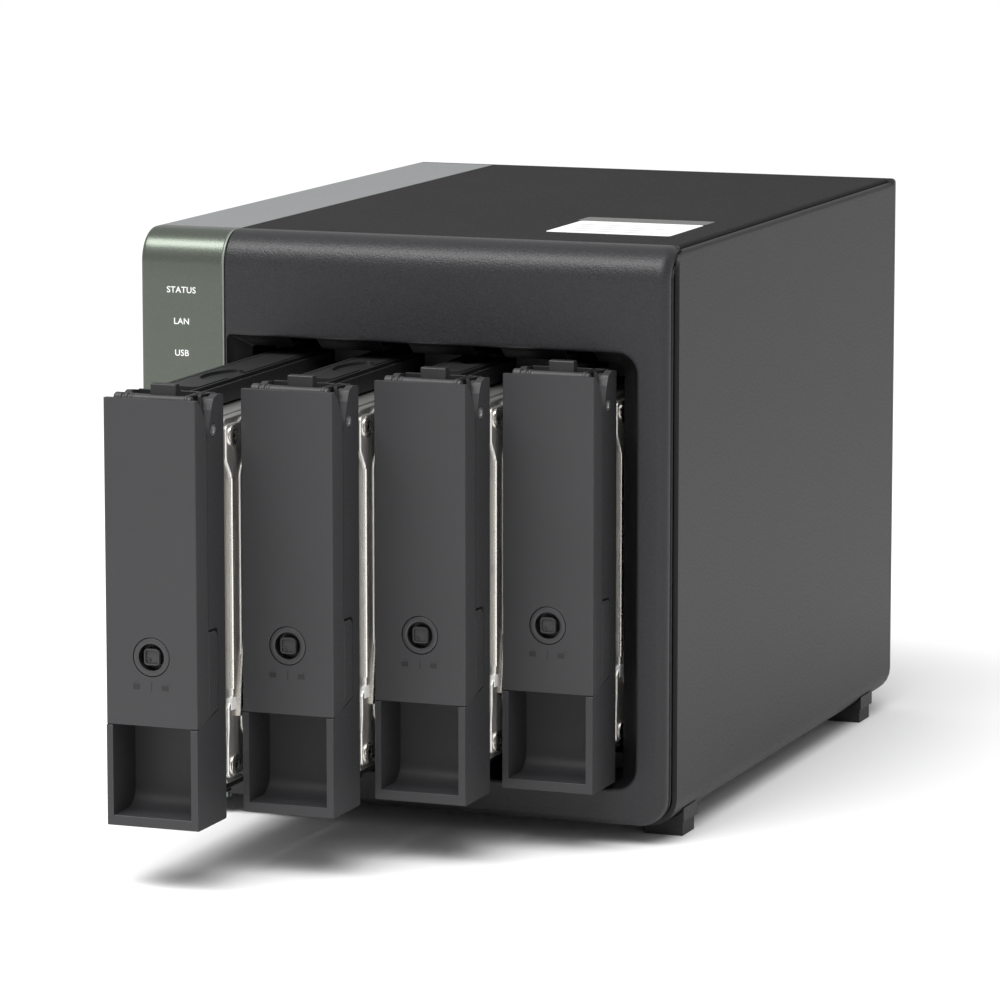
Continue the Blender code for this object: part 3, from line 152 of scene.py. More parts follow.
def turned(profile, centre, axis="y", steps=40):
    # (radius, distance) pairs turned once round an axis through the centre; ends on the axis close the shape
    profile = np.asarray(profile, float)
    a = np.linspace(0, 2 * math.pi, steps, endpoint=False)
    r, along = profile[:, 0, None], np.repeat(profile[:, 1, None], steps, 1)
    across, up = r * np.cos(a), r * np.sin(a)
    order = {"x": (along, across, up), "y": (across, along, up), "z": (across, up, along)}[axis]
    points = np.stack(order, -1) + np.asarray(centre, float)
    return points.reshape(-1, 3), gridFaces(len(profile), steps, closeCols=True)


def tube(path, radius, side, steps=8, ring=False):
    # a circle carried along a path that lies in a plane; side is that plane's normal
    path = np.asarray(path, float)
    run = np.roll(path, -1, 0) - np.roll(path, 1, 0) if ring else np.gradient(path, axis=0)
    run /= np.linalg.norm(run, axis=1)[:, None]
    side = np.asarray(side, float)
    across = np.cross(run, side)
    a = np.linspace(0, 2 * math.pi, steps, endpoint=False)[None, :, None]
    loops = path[:, None] + radius * (np.cos(a) * across[:, None] + np.sin(a) * side)
    return loft(loops, ring)


def turnAbout(shell, centre, degrees):
    # the shell turned about the line along x through the centre
    points, faces = shell
    a = math.radians(degrees)
    c, s = math.cos(a), math.sin(a)
    centre = np.asarray(centre, float)
    return (points - centre) @ np.array(((1, 0, 0), (0, c, -s), (0, s, c))).T + centre, faces


# pieces

def makeMesh(name, shells, looks):
    # joins shells, given in mm, into one mesh in metres; a shell may carry a third item, its finish's
    # number, for all its faces or for each
    mesh = bpy.data.meshes.new(name)
    points, faces, numbers = [], [], []
    count = 0
    for shell in shells:
        points.append(np.asarray(shell[0], float))
        faces += [[count + corner for corner in face] for face in shell[1]]
        numbers += list(np.broadcast_to(shell[2] if len(shell) > 2 else 0, len(shell[1])))
        count += len(shell[0])
    mesh.from_pydata((np.concatenate(points) * mm).tolist(), [], faces)
    for look in looks:
        mesh.materials.append(look)
    mesh.polygons.foreach_set("material_index", np.array(numbers, np.int32))
    work = bmesh.new()
    work.from_mesh(mesh)
    bmesh.ops.remove_doubles(work, verts=work.verts, dist=1e-6)
    bmesh.ops.recalc_face_normals(work, faces=work.faces)
    work.to_mesh(mesh)
    work.free()
    mesh.polygons.foreach_set("use_smooth", np.ones(len(mesh.polygons), bool))
    return mesh


def soften(piece, width, segments=2, angle=32):
    # rounds the edges that are sharper than the angle, and keeps the flat faces flat
    bevel = piece.modifiers.new("edges", "BEVEL")
    bevel.width = width * mm
    bevel.segments = segments
    bevel.limit_method = "ANGLE"
    bevel.angle_limit = math.radians(angle)
    bevel.use_clamp_overlap = True
    flat = piece.modifiers.new("normals", "WEIGHTED_NORMAL")
    flat.keep_sharp = True


def settle(piece):
    # gives the piece the mesh that its modifiers make
    bpy.context.view_layer.update()
    made = piece.evaluated_get(bpy.context.evaluated_depsgraph_get())
    final = bpy.data.meshes.new_from_object(made)
    piece.modifiers.clear()
    piece.data = final


def carve(piece, cutters, union):
    # takes closed shells out of the piece, whose own shells are first merged if union is set
    for number, shell in enumerate(cutters):
        tool = bpy.data.objects.new(f"cutter{number}", makeMesh("cutter", [shell], []))
        bpy.context.scene.collection.objects.link(tool)
        change = piece.modifiers.new("cut", "BOOLEAN")
        change.operation = "DIFFERENCE"
        change.solver = "EXACT"
        change.object = tool
        change.use_self = union
    settle(piece)
    for item in [o for o in bpy.data.objects if o.name.startswith("cutter")]:
        bpy.data.objects.remove(item)


def piece(name, shells, looks, body, nodes=(), slotName=None, wall=0.0, edge=0.0, cutters=(), sharp=32,
        segments=2, union=False):
    # one visible piece: its shells, wall thickness, cuts and edge rounding, and the body that it rides on
    looks = [finishes[look] for look in ([looks] if isinstance(looks, str) else looks)]
    made = bpy.data.objects.new(name, makeMesh(name, shells, looks))
    bpy.context.scene.collection.objects.link(made)
    if wall:
        shellWall = made.modifiers.new("wall", "SOLIDIFY")
        shellWall.thickness = wall * mm
        shellWall.offset = -1
    if cutters or wall:
        carve(made, cutters, union)
    if edge:
        soften(made, edge, segments, sharp)
        settle(made)
    else:
        made.data.set_sharp_from_angle(angle=math.radians(sharp + 8))
    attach(made, body)
    if nodes:
        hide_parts(*nodes)
    return made


# finishes

def link(tree, source, target):
    # joins one node's output to another's input
    tree.links.new(source, target)


def newFinish(name, colour, roughness, metallic=0.0, specular=0.5, coat=0.0):
    # a plain finish from its colour, roughness and the shader's weights
    made = bpy.data.materials.new(name)
    made.use_nodes = True
    shader = made.node_tree.nodes["Principled BSDF"]
    shader.inputs["Base Color"].default_value = (*colour, 1)
    shader.inputs["Roughness"].default_value = roughness
    shader.inputs["Metallic"].default_value = metallic
    shader.inputs["Specular IOR Level"].default_value = specular
    shader.inputs["Coat Weight"].default_value = coat
    shader.inputs["Coat Roughness"].default_value = 0.2
    return made, made.node_tree, shader


def noise(tree, scale, detail=3.0, roughness=0.55, stretch=(1, 1, 1)):
    # fine noise in the piece's own space, stretched along any axis
    place = tree.nodes.new("ShaderNodeTexCoord")
    mapping = tree.nodes.new("ShaderNodeMapping")
    mapping.inputs["Scale"].default_value = stretch
    made = tree.nodes.new("ShaderNodeTexNoise")
    made.inputs["Scale"].default_value = scale
    made.inputs["Detail"].default_value = detail
    made.inputs["Roughness"].default_value = roughness
    link(tree, place.outputs["Object"], mapping.inputs["Vector"])
    link(tree, mapping.outputs["Vector"], made.inputs["Vector"])
    return made.outputs["Fac"]


def ramp(tree, source, low, high, first=0.35, last=0.65):
    # a colour that runs from low to high as the pattern does
    made = tree.nodes.new("ShaderNodeValToRGB")
    made.color_ramp.elements[0].position = first
    made.color_ramp.elements[1].position = last
    made.color_ramp.elements[0].color = (*low, 1)
    made.color_ramp.elements[1].color = (*high, 1)
    link(tree, source, made.inputs["Fac"])
    return made.outputs["Color"]


def vary(tree, source, low, high):
    # a number that runs from low to high as the pattern does
    made = tree.nodes.new("ShaderNodeMapRange")
    made.inputs["From Min"].default_value = 0.3
    made.inputs["From Max"].default_value = 0.7
    made.inputs["To Min"].default_value = low
    made.inputs["To Max"].default_value = high
    link(tree, source, made.inputs["Value"])
    return made.outputs["Result"]


def bump(tree, shader, source, depth, strength=0.5, under=None):
    # tilts the shader's normal by the slope of a height pattern, over another bump if one is given
    made = tree.nodes.new("ShaderNodeBump")
    made.inputs["Distance"].default_value = depth
    made.inputs["Strength"].default_value = strength
    link(tree, source, made.inputs["Height"])
    if under is not None:
        link(tree, under, made.inputs["Normal"])
    link(tree, made.outputs["Normal"], shader.inputs["Normal"])
    return made.outputs["Normal"]


def shade(colour, share):
    # each part of the colour times the same share
    return tuple(part * share for part in colour)


def plastic(name, colour, roughness, grain=1600, depth=0.05, strength=0.5, mottle=0.06, specular=0.5,
        coat=0.0):
    # moulded plastic: a fine spark-eroded grain, slightly uneven gloss, and faint flow marks in the colour
    made, tree, shader = newFinish(name, colour, roughness, 0.0, specular, coat)
    fine = noise(tree, grain, 2.0)
    broad = noise(tree, 38, 3.0)
    link(tree, ramp(tree, broad, shade(colour, 1 - mottle), shade(colour, 1 + mottle)),
         shader.inputs["Base Color"])
    link(tree, vary(tree, fine, roughness - 0.05, roughness + 0.07), shader.inputs["Roughness"])
    bump(tree, shader, fine, depth * mm, strength)
    return made


def leather(name, colour, roughness, scale=1800, depth=0.1):
    # leather-grained plastic: rounded cells with fine creases between them, over a softer swell
    made, tree, shader = newFinish(name, colour, roughness, 0.0, 0.3)
    place = tree.nodes.new("ShaderNodeTexCoord")
    cells = tree.nodes.new("ShaderNodeTexVoronoi")
    cells.inputs["Scale"].default_value = scale
    link(tree, place.outputs["Object"], cells.inputs["Vector"])
    fine = noise(tree, scale * 0.8, 3.0)
    first = bump(tree, shader, fine, depth * 0.7 * mm, 0.5)
    bump(tree, shader, cells.outputs["Distance"], -depth * mm, 0.45, first)
    link(tree, vary(tree, fine, roughness - 0.06, roughness + 0.08), shader.inputs["Roughness"])
    link(tree, ramp(tree, fine, shade(colour, 0.85), shade(colour, 1.12)), shader.inputs["Base Color"])
    return made


def metallicPaint(name, colour, roughness, flake):
    # metallic paint: flakes that differ a little in colour and tilt
    made, tree, shader = newFinish(name, colour, roughness, 0.72, 0.5, 0.1)
    flakes = noise(tree, 3600, 2.0, 0.6)
    link(tree, ramp(tree, flakes, shade(colour, 1 - flake), shade(colour, 1 + flake)),
         shader.inputs["Base Color"])
    link(tree, vary(tree, flakes, roughness - 0.04, roughness + 0.06), shader.inputs["Roughness"])
    bump(tree, shader, flakes, 0.02 * mm, 0.14)
    return made


def metal(name, colour, roughness, stretch=(1, 1, 1), grain=900, depth=0.02):
    # metal with fine drawn lines along the axis that is stretched least
    made, tree, shader = newFinish(name, colour, roughness, 1.0)
    lines = noise(tree, grain, 3.0, 0.6, stretch)
    clouds = noise(tree, 60, 2.0)
    link(tree, ramp(tree, clouds, shade(colour, 0.96), shade(colour, 1.02)), shader.inputs["Base Color"])
    link(tree, vary(tree, lines, roughness - 0.05, roughness + 0.1), shader.inputs["Roughness"])
    bump(tree, shader, lines, depth * mm, 0.35)
    return made


def circuit(name, colour):
    # solder mask with darker tracks along the board
    made, tree, shader = newFinish(name, colour, 0.35)
    tracks = noise(tree, 260, 1.0, 0.4, (1, 0.12, 1))
    link(tree, ramp(tree, tracks, shade(colour, 0.55), shade(colour, 1.25), 0.46, 0.54),
         shader.inputs["Base Color"])
    bump(tree, shader, tracks, 0.04 * mm, 0.4)
    return made


finishes = {
    "strip": metallicPaint("greenMetallic", (0.106, 0.121, 0.100), 0.30, 0.07),
    # a lighter colour for the line at the strip's right edge: a painted highlight on the edge's rounding
    "stripEdgeHighlight": plastic("paintedHighlightLine", (0.19, 0.215, 0.185), 0.35, 1200, 0.02),
    "greyStrip": plastic("greyGloss", (0.172, 0.178, 0.182), 0.30, 2400, 0.006, 0.1, 0.01, 0.3),
    "side": plastic("darkSatin", (0.026, 0.026, 0.0275), 0.42, 1500, 0.035, 0.5, 0.03, 0.12),
    "top": plastic("darkTexture", (0.020, 0.0188, 0.0188), 0.60, 1350, 0.1, 0.7, 0.05, 0.045),
    "bezel": leather("blackLeather", (0.022, 0.022, 0.024), 0.38),
    # smooth black for the lip inside the opening, darkened further as painted shade
    "lip": plastic("lipShadedBlack", (0.006, 0.006, 0.0065), 0.46, 1500, 0.03, 0.4, 0.03, 0.25),
    "tray": plastic("trayPlastic", (0.033, 0.033, 0.035), 0.50, 1700, 0.035, 0.45, 0.03, 0.4),
    # a slightly darker copy of the tray plastic, painted shade on the frames' sides
    "frame": plastic("frameShadedPlastic", (0.029, 0.029, 0.031), 0.48, 1500, 0.05, 0.5, 0.03, 0.4),
    "pinEnd": metal("pinEnd", (0.30, 0.30, 0.31), 0.45),
    # a darker copy of the tray plastic, painted shade for the hooks and ears, the frames' tops, rails and
    # clips, and the lock's signs
    "trayDark": plastic("trayShadedPlastic", (0.015, 0.015, 0.016), 0.42, 1500, 0.05, 0.5, 0.05, 0.4),
    "grip": plastic("gripTexture", (0.026, 0.026, 0.028), 0.55, 1000, 0.2, 0.9, 0.1),
    "lock": plastic("lockPlastic", (0.036, 0.036, 0.038), 0.42, 1600, 0.03, 0.4, 0.03, 0.4),
    # near-black that paints the shade in the lock's groove and in the screws' sockets
    "recessShade": plastic("paintedRecessShade", (0.006, 0.006, 0.006), 0.5, 1600, 0.03, 0.4),
    "black": plastic("blackPlastic", (0.014, 0.014, 0.015), 0.42, 1400, 0.05, 0.5),
    "cage": plastic("cageBlack", (0.012, 0.012, 0.013), 0.5, 1200, 0.06, 0.5),
    "rearSteel": plastic("rearPaint", (0.030, 0.030, 0.032), 0.45, 1400, 0.07, 0.6),
    "drive": metal("driveLid", (0.88, 0.86, 0.82), 0.42, (1, 1, 0.08)),
    "driveCast": metal("castAluminium", (0.62, 0.62, 0.60), 0.40, (1, 1, 1), 1400, 0.09),
    "chrome": metal("chrome", (0.86, 0.83, 0.78), 0.22, (1, 1, 1), 500, 0.01),
    "steel": metal("steel", (0.56, 0.56, 0.56), 0.27, (1, 1, 0.1)),
    "aluminium": metal("aluminium", (0.62, 0.63, 0.64), 0.34, (1, 0.08, 1)),
    "board": circuit("greenBoard", (0.012, 0.085, 0.035)),
    "driveBoard": circuit("driveBoard", (0.012, 0.05, 0.03)),
    "foot": plastic("footRubber", (0.016, 0.016, 0.017), 0.68, 900, 0.12, 0.7),
    "label": plastic("whiteLabel", (0.86, 0.86, 0.85), 0.35, 900, 0.01, 0.2, 0.02),
    "labelInk": plastic("labelInk", (0.10, 0.10, 0.11), 0.4, 900, 0.01, 0.2, 0.02),
    "film": plastic("greyFilm", (0.072, 0.070, 0.068), 0.28, 900, 0.01, 0.2, 0.02),
    "print": plastic("whitePrint", (0.80, 0.81, 0.80), 0.45, 900, 0.01, 0.2, 0.01),
    "lightPipe": plastic("clearPipe", (0.60, 0.62, 0.62), 0.12, 700, 0.01, 0.2, 0.02),
}
print("finishes ready")


# the cabinet's front

bezelLow, bezelHigh = boxOf("front_bezel")
stripLow, stripHigh = boxOf("indicator_strip")
faceY = bezelLow[1]
topZ = bezelHigh[2]
trayBoxes = [boxOf(f"tray_frame_{n}") for n in range(1, trayCount + 1)]
handleBoxes = [boxOf(f"handle_{n}") for n in range(1, trayCount + 1)]
trayTop = trayBoxes[0][1][2]
trayBottom = trayBoxes[0][0][2]

bezelSizes = {
    "radius": 9.5,  # from the face over to the top
    "topDepth": 12.4,
    "edges": (3.0, 0.3, 0.3, 2.0),  # rounding of the right, upper, left and lower edges, in mm
    "corners": (0.9, 0.4, 0.8, 8.0),  # upper right, upper left, lower left and lower right
    "sideDepth": (6.3, 1.8, 5.0, 6.3),
    "setBack": (1.2, 0.0, 0.0, 0.8),  # how far the edges lie inside the covers' faces
    "groove": ((0.9, 1.0), (0.9, 0.82), (0.0, 0.76), (0.0, 0.50), (0.8, 0.44), (0.8, 0.18), (0.0, 0.08)),
    "openingRound": (0.9, 0.9, 0.12, 0.9),
    "openingCorners": (6.0, 1.2, 1.2, 6.0),
    "margins": (6.4, 4.7, 6.8, 1.6),  # from the trays to the opening: right, top, left, bottom
    "lip": (5.1, 3.2, 5.8, 0.8),
    "lipCorners": (2.5, 1.0, 1.0, 2.5),
    "lipDepth": 5.0,
    "throatWall": 1.4,
}
frontRadius = bezelSizes["radius"]
frontFlat = topZ - frontRadius
frontEnd = frontFlat + frontRadius * math.pi / 2 + bezelSizes["topDepth"] - frontRadius


def wrapFront(x, w, n):
    # the front laid flat and bent again: w runs up the face and then round the top; n goes in from the
    # surface
    a = np.clip((w - frontFlat) / frontRadius, 0, math.pi / 2)
    beyond = np.maximum(w - frontFlat - frontRadius * math.pi / 2, 0)
    y = faceY + frontRadius - (frontRadius - n) * np.cos(a) + beyond
    z = np.minimum(w, frontFlat) + np.where(w > frontFlat, (frontRadius - n) * np.sin(a), 0)
    return np.stack((x, y, z), -1)


def ringLoop(inset, depth, corners, cornerSteps=9):
    # a rectangle with rounded corners on the flattened front, by its insets from the right, top, left and
    # bottom
    right, top = bezelHigh[0] - inset[0], frontEnd - inset[1]
    left, bottom = bezelLow[0] + inset[2], bezelLow[2] + inset[3]
    t = np.linspace(0, 1, cornerSteps + 1)
    ease = t * t * (3 - 2 * t)
    places, depths = [], []
    starts = ((right, top, -1, -1), (left, top, 1, -1), (left, bottom, 1, 1), (right, bottom, -1, 1))
    for k, (x, z, sx, sz) in enumerate(starts):
        a = math.radians(90) * (k + t)
        centre = np.array((x + sx * corners[k], z + sz * corners[k]))
        places.append(centre + corners[k] * np.stack((np.cos(a), np.sin(a)), -1))
        depths.append(depth[k] * (1 - ease) + depth[(k + 1) % 4] * ease)
    path, deep = [], []
    even = np.linspace(0, 1, 20)[1:-1]
    # close together near the top
    down = np.concatenate((np.linspace(0, 0.13, 19)[1:], np.linspace(0.13, 1, 10)[1:-1]))
    for k, share in enumerate((even, down, even, 1 - down[::-1])):
        path.append(places[k])
        deep.append(depths[k])
        path.append(places[k][-1] * (1 - share[:, None]) + places[(k + 1) % 4][0] * share[:, None])
        deep.append(np.full(len(share), depth[(k + 1) % 4]))
    path, deep = np.concatenate(path), np.concatenate(deep)
    return np.column_stack((path, deep))


def blend(first, last, steps):
    # loops in between two loops
    share = np.linspace(0, 1, steps + 2)[1:-1, None, None]
    return list(first * (1 - share) + last * share)


def bezelLoops(s):
    # from the back edge over the grooves and rounded edges to the face, down the slanted lip and back inside
    radii, corners = np.array(s["edges"]), np.array(s["corners"])
    rear = np.array(s["sideDepth"])
    grooved = np.array((1, 0, 0, 1))
    inner = np.array((3.6, 0.3, 1.4, 3.0))
    setBack = np.array(s["setBack"])
    loops = [ringLoop(inner, rear, corners)]
    for sunk, share in s["groove"]:  # two grooves with a fine ridge between them, on the right and below
        loops.append(ringLoop(setBack + grooved * sunk, radii + (rear - radii) * share, corners))
    for a in arc(0, 90, 13):
        shrink = np.array((0, 0, 0, 2.0)) * (1 - math.cos(a))
        loops.append(ringLoop(setBack + radii * (1 - math.cos(a)), radii * (1 - math.sin(a)),
                corners - shrink))
    gaps = np.array((
        bezelHigh[0] - trayBoxes[-1][1][0], frontEnd - trayTop, trayBoxes[0][0][0] - bezelLow[0],
        trayBottom - bezelLow[2]
    ))
    opening = gaps - np.array(s["margins"])
    around, outer = np.array(s["openingRound"]), np.array(s["openingCorners"])
    edge = ringLoop(opening - around, np.zeros(4), outer + around)
    loops += blend(loops[-1], edge, 40)
    firstLip = len(loops) + 2
    for a in arc(0, 90, 5):
        grow = around * (1 - math.sin(a))
        loops.append(ringLoop(opening - grow, around * (1 - math.cos(a)), outer + grow))
    lip, deep = np.array(s["lip"]), s["lipDepth"]
    lipCorners = np.array(s["lipCorners"])
    for share in (0.35, 0.7, 1.0):
        loops.append(ringLoop(opening + lip * share, around + (deep - around) * share,
                outer + (lipCorners - outer) * share))
    back = np.full(4, s["topDepth"])
    wall = s["throatWall"]
    loops.append(ringLoop(opening + lip, back, lipCorners))
    lastLip = len(loops)
    loops.append(ringLoop(opening + lip - wall, back, lipCorners + wall))
    loops.append(ringLoop(opening + lip - wall, np.full(4, 5.2), lipCorners + wall))
    behind = ringLoop(np.minimum(opening + lip - wall, opening + np.array((1.2, -0.1, 1.2, 1.2))),
            np.full(4, 2.4), outer)
    loops.append(behind)
    last = ringLoop(np.array((4.4, 0.9, 1.6, 3.8)), np.array((2.6, 1.7, 2.4, 2.6)), corners)
    loops += blend(behind, last, 16)
    loops.append(last)
    loops = np.array(loops)
    return wrapFront(loops[..., 0], loops[..., 1], loops[..., 2]), firstLip, lastLip


def makeBezel(s):
    # lofts the loops round the opening; the lip's rows take the second finish, a near-black that paints the
    # shade inside the opening
    loops, firstLip, lastLip = bezelLoops(s)
    points, faces = loft(loops, ring=True)
    row = np.repeat(np.arange(len(loops)), loops.shape[1])
    numbers = ((row >= firstLip) & (row < lastLip)).astype(int)
    slots = []
    lipTop = trayTop + (s["margins"][1] - s["lip"][1])
    for low, high in handleBoxes:  # room for each tray's hook to pass
        x0, x1 = low[0] + 11.4, low[0] + 20.4
        slots.append(block((x0, faceY + 0.9, lipTop - 1), (x1, faceY + 14, high[2] + 0.7), 0.4))
    piece("bezelFace", [(points, faces, numbers)], ["bezel", "lip"], "cabinet",
          ["front_bezel"], "bezel", cutters=slots)


makeBezel(bezelSizes)

stripSizes = {
    "topRadius": 9.5,
    "topDepth": 12.4,
    "edge": 1.2,  # rounding of the left edge
    "sideDepth": 6.4,
    "roll": 8.0,
    "line": (0.7, 0.3),  # width and sink of the line at the right edge, painted pale as a highlight
    "buttons": ("power_button", "copy_button"),
}


def frontPath(depth, radius, bottom):
    # up the face, round the top edge and back: points and their inward directions, in (y, z)
    a = arc(180, 90, 13)
    corner = bottom + 8 * (1 - np.cos(arc(0, 90, 10)))
    rise = np.concatenate((corner[:-1], np.linspace(bottom + 8, topZ - radius, 26)[:-1]))
    y = np.concatenate((np.full(len(rise), faceY), faceY + radius + radius * np.cos(a), [faceY + depth]))
    z = np.concatenate((rise, topZ - radius + radius * np.sin(a), [topZ]))
    inY = np.concatenate((np.ones(len(rise)), -np.cos(a), [0]))
    inZ = np.concatenate((np.zeros(len(rise)), -np.sin(a), [-1]))
    return np.stack((y, z), -1), np.stack((inY, inZ), -1)


def makeStrip(s):
    # the front's profile carried across, turned round the left edge and stepped down at the right
    path, inward = frontPath(s["topDepth"], s["topRadius"], stripLow[2])
    x0, x1 = stripLow[0], stripHigh[0]
    edge = s["edge"]
    width, sink = s["line"][0], s["line"][1]
    a = arc(0, 90, 7)
    across = [x0, *(x0 + edge * (1 - np.cos(a))), *np.linspace(x0 + 3, x1 - 3, 8)]
    sunk = [s["sideDepth"], *(edge * (1 - np.sin(a))), *np.zeros(8)]
    firstLine = len(across)
    across += [x1 - width - 0.15, x1 - width, x1 - 0.55 * width, x1 - 0.45 * width, x1 - 0.15, x1]
    sunk += [0, sink, sink, sink * 0.4, sink * 0.4, sink * 0.4 + 0.15]
    across.append(x1)
    sunk.append(2.0)
    across, sunk = np.array(across), np.array(sunk)
    yz = path[:, None] + inward[:, None] * sunk[None, :, None]
    roll = s["roll"]  # the lower left corner follows the rolled edge of the cover beside it
    near = np.clip(1 - (path[:, 1] - stripLow[2]) / roll, 0, 1)
    moved = roll * (1 - np.sqrt(1 - near ** 2))
    x = across + moved[:, None] * np.clip(1 - (across - x0) / (1.5 * roll), 0, 1)
    points = np.concatenate((x[..., None], yz), -1)
    grid, faces = sheet(points)
    # the line's columns take the second finish, its pale colour a painted highlight
    column = np.arange(len(faces)) % (len(across) - 1)
    numbers = ((column >= firstLine) & (column < firstLine + 4)).astype(int)
    holes = []
    for name in s["buttons"]:
        low, high = boxOf(name)
        centre = (low + high) / 2
        radius = (high[0] - low[0]) / 2 + 0.3
        holes.append(turned([(0, -5), (radius, -5), (radius, 8), (0, 8)], (centre[0], faceY, centre[2])))
    low, high = boxOf("front_usb_port")
    room = 0.3
    holes.append(block((low[0] - room, faceY - 3, low[2] - room),
            (high[0] + room, faceY + 5, high[2] + room), 1))
    piece("indicatorStripFace", [(grid, faces, numbers)], ["strip", "stripEdgeHighlight"],
          "cabinet", ["indicator_strip"], "green_strip", wall=1.4, cutters=holes)


makeStrip(stripSizes)
print("front ready")


# covers

coverSizes = {
    "wall": 1.4,
    "lipRadius": 1.2,
    "rollRadius": 8.0,
    "cornerRadius": 5.0,  # the right cover's upper front corner
    "edge": 0.45,
    "topDrop": 0.1,  # the top lies this much lower than its label
}


def coverSheet(outline, front, back, lines=26):
    # an outline in (x, z) carried from a front edge, which may differ for each point, to the back
    share = np.linspace(0, 1, lines)[:, None]
    y = np.broadcast_to(front, len(outline)) * (1 - share) + back * share
    x = np.broadcast_to(outline[:, 0], y.shape)
    z = np.broadcast_to(outline[:, 1], y.shape)
    return sheet(np.stack((x, y, z), -1))


def sidePath(box, radius, roll, side, flap, steps=30):
    # from the upper edge down the side, round the roll and under the cabinet
    low, high = box
    outer = high[0] if side > 0 else low[0]
    top, bottom = high[2], low[2]
    a = arc(90, 0, 7)
    upper = np.stack((outer - side * radius * (1 - np.cos(a)), top - radius + radius * np.sin(a)), -1)
    z = np.linspace(top - radius, bottom + roll, steps)[1:-1]
    z = np.sort(np.concatenate((z, top - np.linspace(radius, 10, 16))))[::-1]
    wall = np.stack((np.full(len(z), outer), z), -1)
    a = arc(0, -90, 11)
    lower = np.stack((outer - side * roll * (1 - np.cos(a)), bottom + roll + roll * np.sin(a)), -1)
    under = np.array([(outer - side * flap, bottom)])
    return np.concatenate((upper, wall, lower, under))


def makeCovers(s):
    # the cabinet's covers
    wall, radius, roll = s["wall"], s["lipRadius"], s["rollRadius"]
    low, high = boxOf("right_cover")
    path = sidePath((low, high), radius, roll, 1, 20)
    path = np.concatenate((path[:1] - (0.4, 0), path))
    corner = s["cornerRadius"]
    drop = np.clip(1 - (high[2] - path[:, 1]) / corner, 0, 1)
    front = low[1] + 0.25 + corner * (1 - np.sqrt(1 - drop ** 2))
    piece("rightCoverPanel", [coverSheet(path, front, high[1])], "side", "cabinet", ["right_cover"],
          "side_cover", wall=wall, edge=s["edge"], segments=3)

    low, high = boxOf("left_cover")
    path = sidePath((low, high), radius, roll, -1, 20)
    seam = np.stack((np.linspace(high[0], path[0, 0], 8)[:-1], np.full(7, high[2])), -1)
    path = np.concatenate((seam, path))
    centre = topZ - stripSizes["topRadius"]
    inner = (stripSizes["topRadius"] - stripSizes["sideDepth"])
    rise = np.clip(path[:, 1] - centre, 0, inner)
    deep = stripSizes["topRadius"] - np.sqrt(inner ** 2 - rise ** 2)
    deep = np.where(path[:, 1] >= centre + inner - 0.2, stripSizes["topDepth"], deep)
    piece("leftCoverPanel", [coverSheet(path, faceY + deep + 0.35, high[1])], "greyStrip",
          "cabinet", ["left_cover"], "grey_strip", wall=wall, edge=0.3)

    low, high = boxOf("top_cover")
    a = arc(90, 0, 7)
    top = high[2] - s["topDrop"]
    bend = np.stack((high[0] - radius + radius * np.cos(a), top - radius + radius * np.sin(a)), -1)
    flat = np.stack((np.linspace(low[0], high[0] - radius, 30)[:-1], np.full(29, top)), -1)
    path = np.concatenate((flat, bend, [(high[0], low[2])]))
    front = np.full(len(path), low[1])
    piece("topCoverPanel", [coverSheet(path, front, high[1], 34)], "top", "cabinet", ["top_cover"],
          "top_cover", wall=wall, edge=0.25)


makeCovers(coverSizes)
print("covers ready")


# trays

traySizes = {
    "wall": 1.8,
    "plate": 2.0,
    "flange": 7.8,
    "bump": (14.0, 70.8),  # depth and upper end of the grip
    "handleBottom": 45.7,
    "setBack": 0.06,  # the handle's face behind its signs
    "gripRise": 3.4,
    "pinY": 12.4,
    "pinZ": 125.2,
    "lockZ": 64.6,
    "frameDepth": 19.2,
    "hook": (12.2, 7.4),  # the hook's place across the handle and its width
    "grip": (8.2, 13.3),  # from the handle's face to the pads' front and back edges
    "recessBack": 14.5,
    "recessFloor": 2.9,
    "recessFillet": 5.5,
}


def uLoops(path, width, plate, wall, corner):
    # a U-shaped section, open to the back, at each (depth, height) of a side path
    loops = []
    for depth, z in path:
        reach = max(depth, plate + 0.02)
        outer = rounded([(0, reach, 0), (0, 0, corner), (width, 0, corner), (width, reach, 0)], 4)
        inner = [(width - wall, reach), (width - wall, plate), (wall, plate), (wall, reach)]
        loop = np.concatenate((outer, inner))
        loops.append(np.column_stack((loop, np.full(len(loop), z))))
    return np.array(loops)


def handlePath(s):
    # the side of a handle: low at the grip's lower edge, out round the grip, then up the flange to its
    # round top
    bump, bumpTop = s["bump"][0], s["bump"][1]
    bottom, flange = s["handleBottom"], s["flange"]
    radius = 2.6
    a = arc(0, 90, 6)
    corner = np.stack((bump - radius + radius * np.cos(a), bumpTop - radius + radius * np.sin(a)), -1)
    fillet = 0.9
    b = arc(270, 180, 4)
    inner = np.stack((flange + fillet + fillet * np.cos(b), bumpTop + fillet + fillet * np.sin(b)), -1)
    pinZ = s["pinZ"] - 5
    c = arc(0, 90, 12)
    top = np.stack((flange * np.cos(c), pinZ + (trayTop - pinZ) * np.sin(c)), -1)
    start = [(s["plate"], bottom), (bump, bottom + s["gripRise"])]
    return np.concatenate((start, corner, inner, top))


def shift(shell, offset):
    # the shell's points plus the offset, the rest kept
    return (shell[0] + offset, *shell[1:])


def padlock(x, z, y, size, opened):
    # a small padlock: a square body and a half-round shackle, which is moved aside when it is open
    body = block((x - size / 2, y, z - size * 0.45), (x + size / 2, y + 0.3, z + size * 0.25), 0.1)
    a = arc(0, 180, 9)
    aside = size * 0.55 if opened else 0
    bow = np.stack((x + aside + size * 0.27 * np.cos(a), np.full(9, y + 0.15),
            z + size * (0.3 + 0.3 * np.sin(a))), -1)
    return [body, tube(bow, 0.13, (0, 1, 0), 6)]


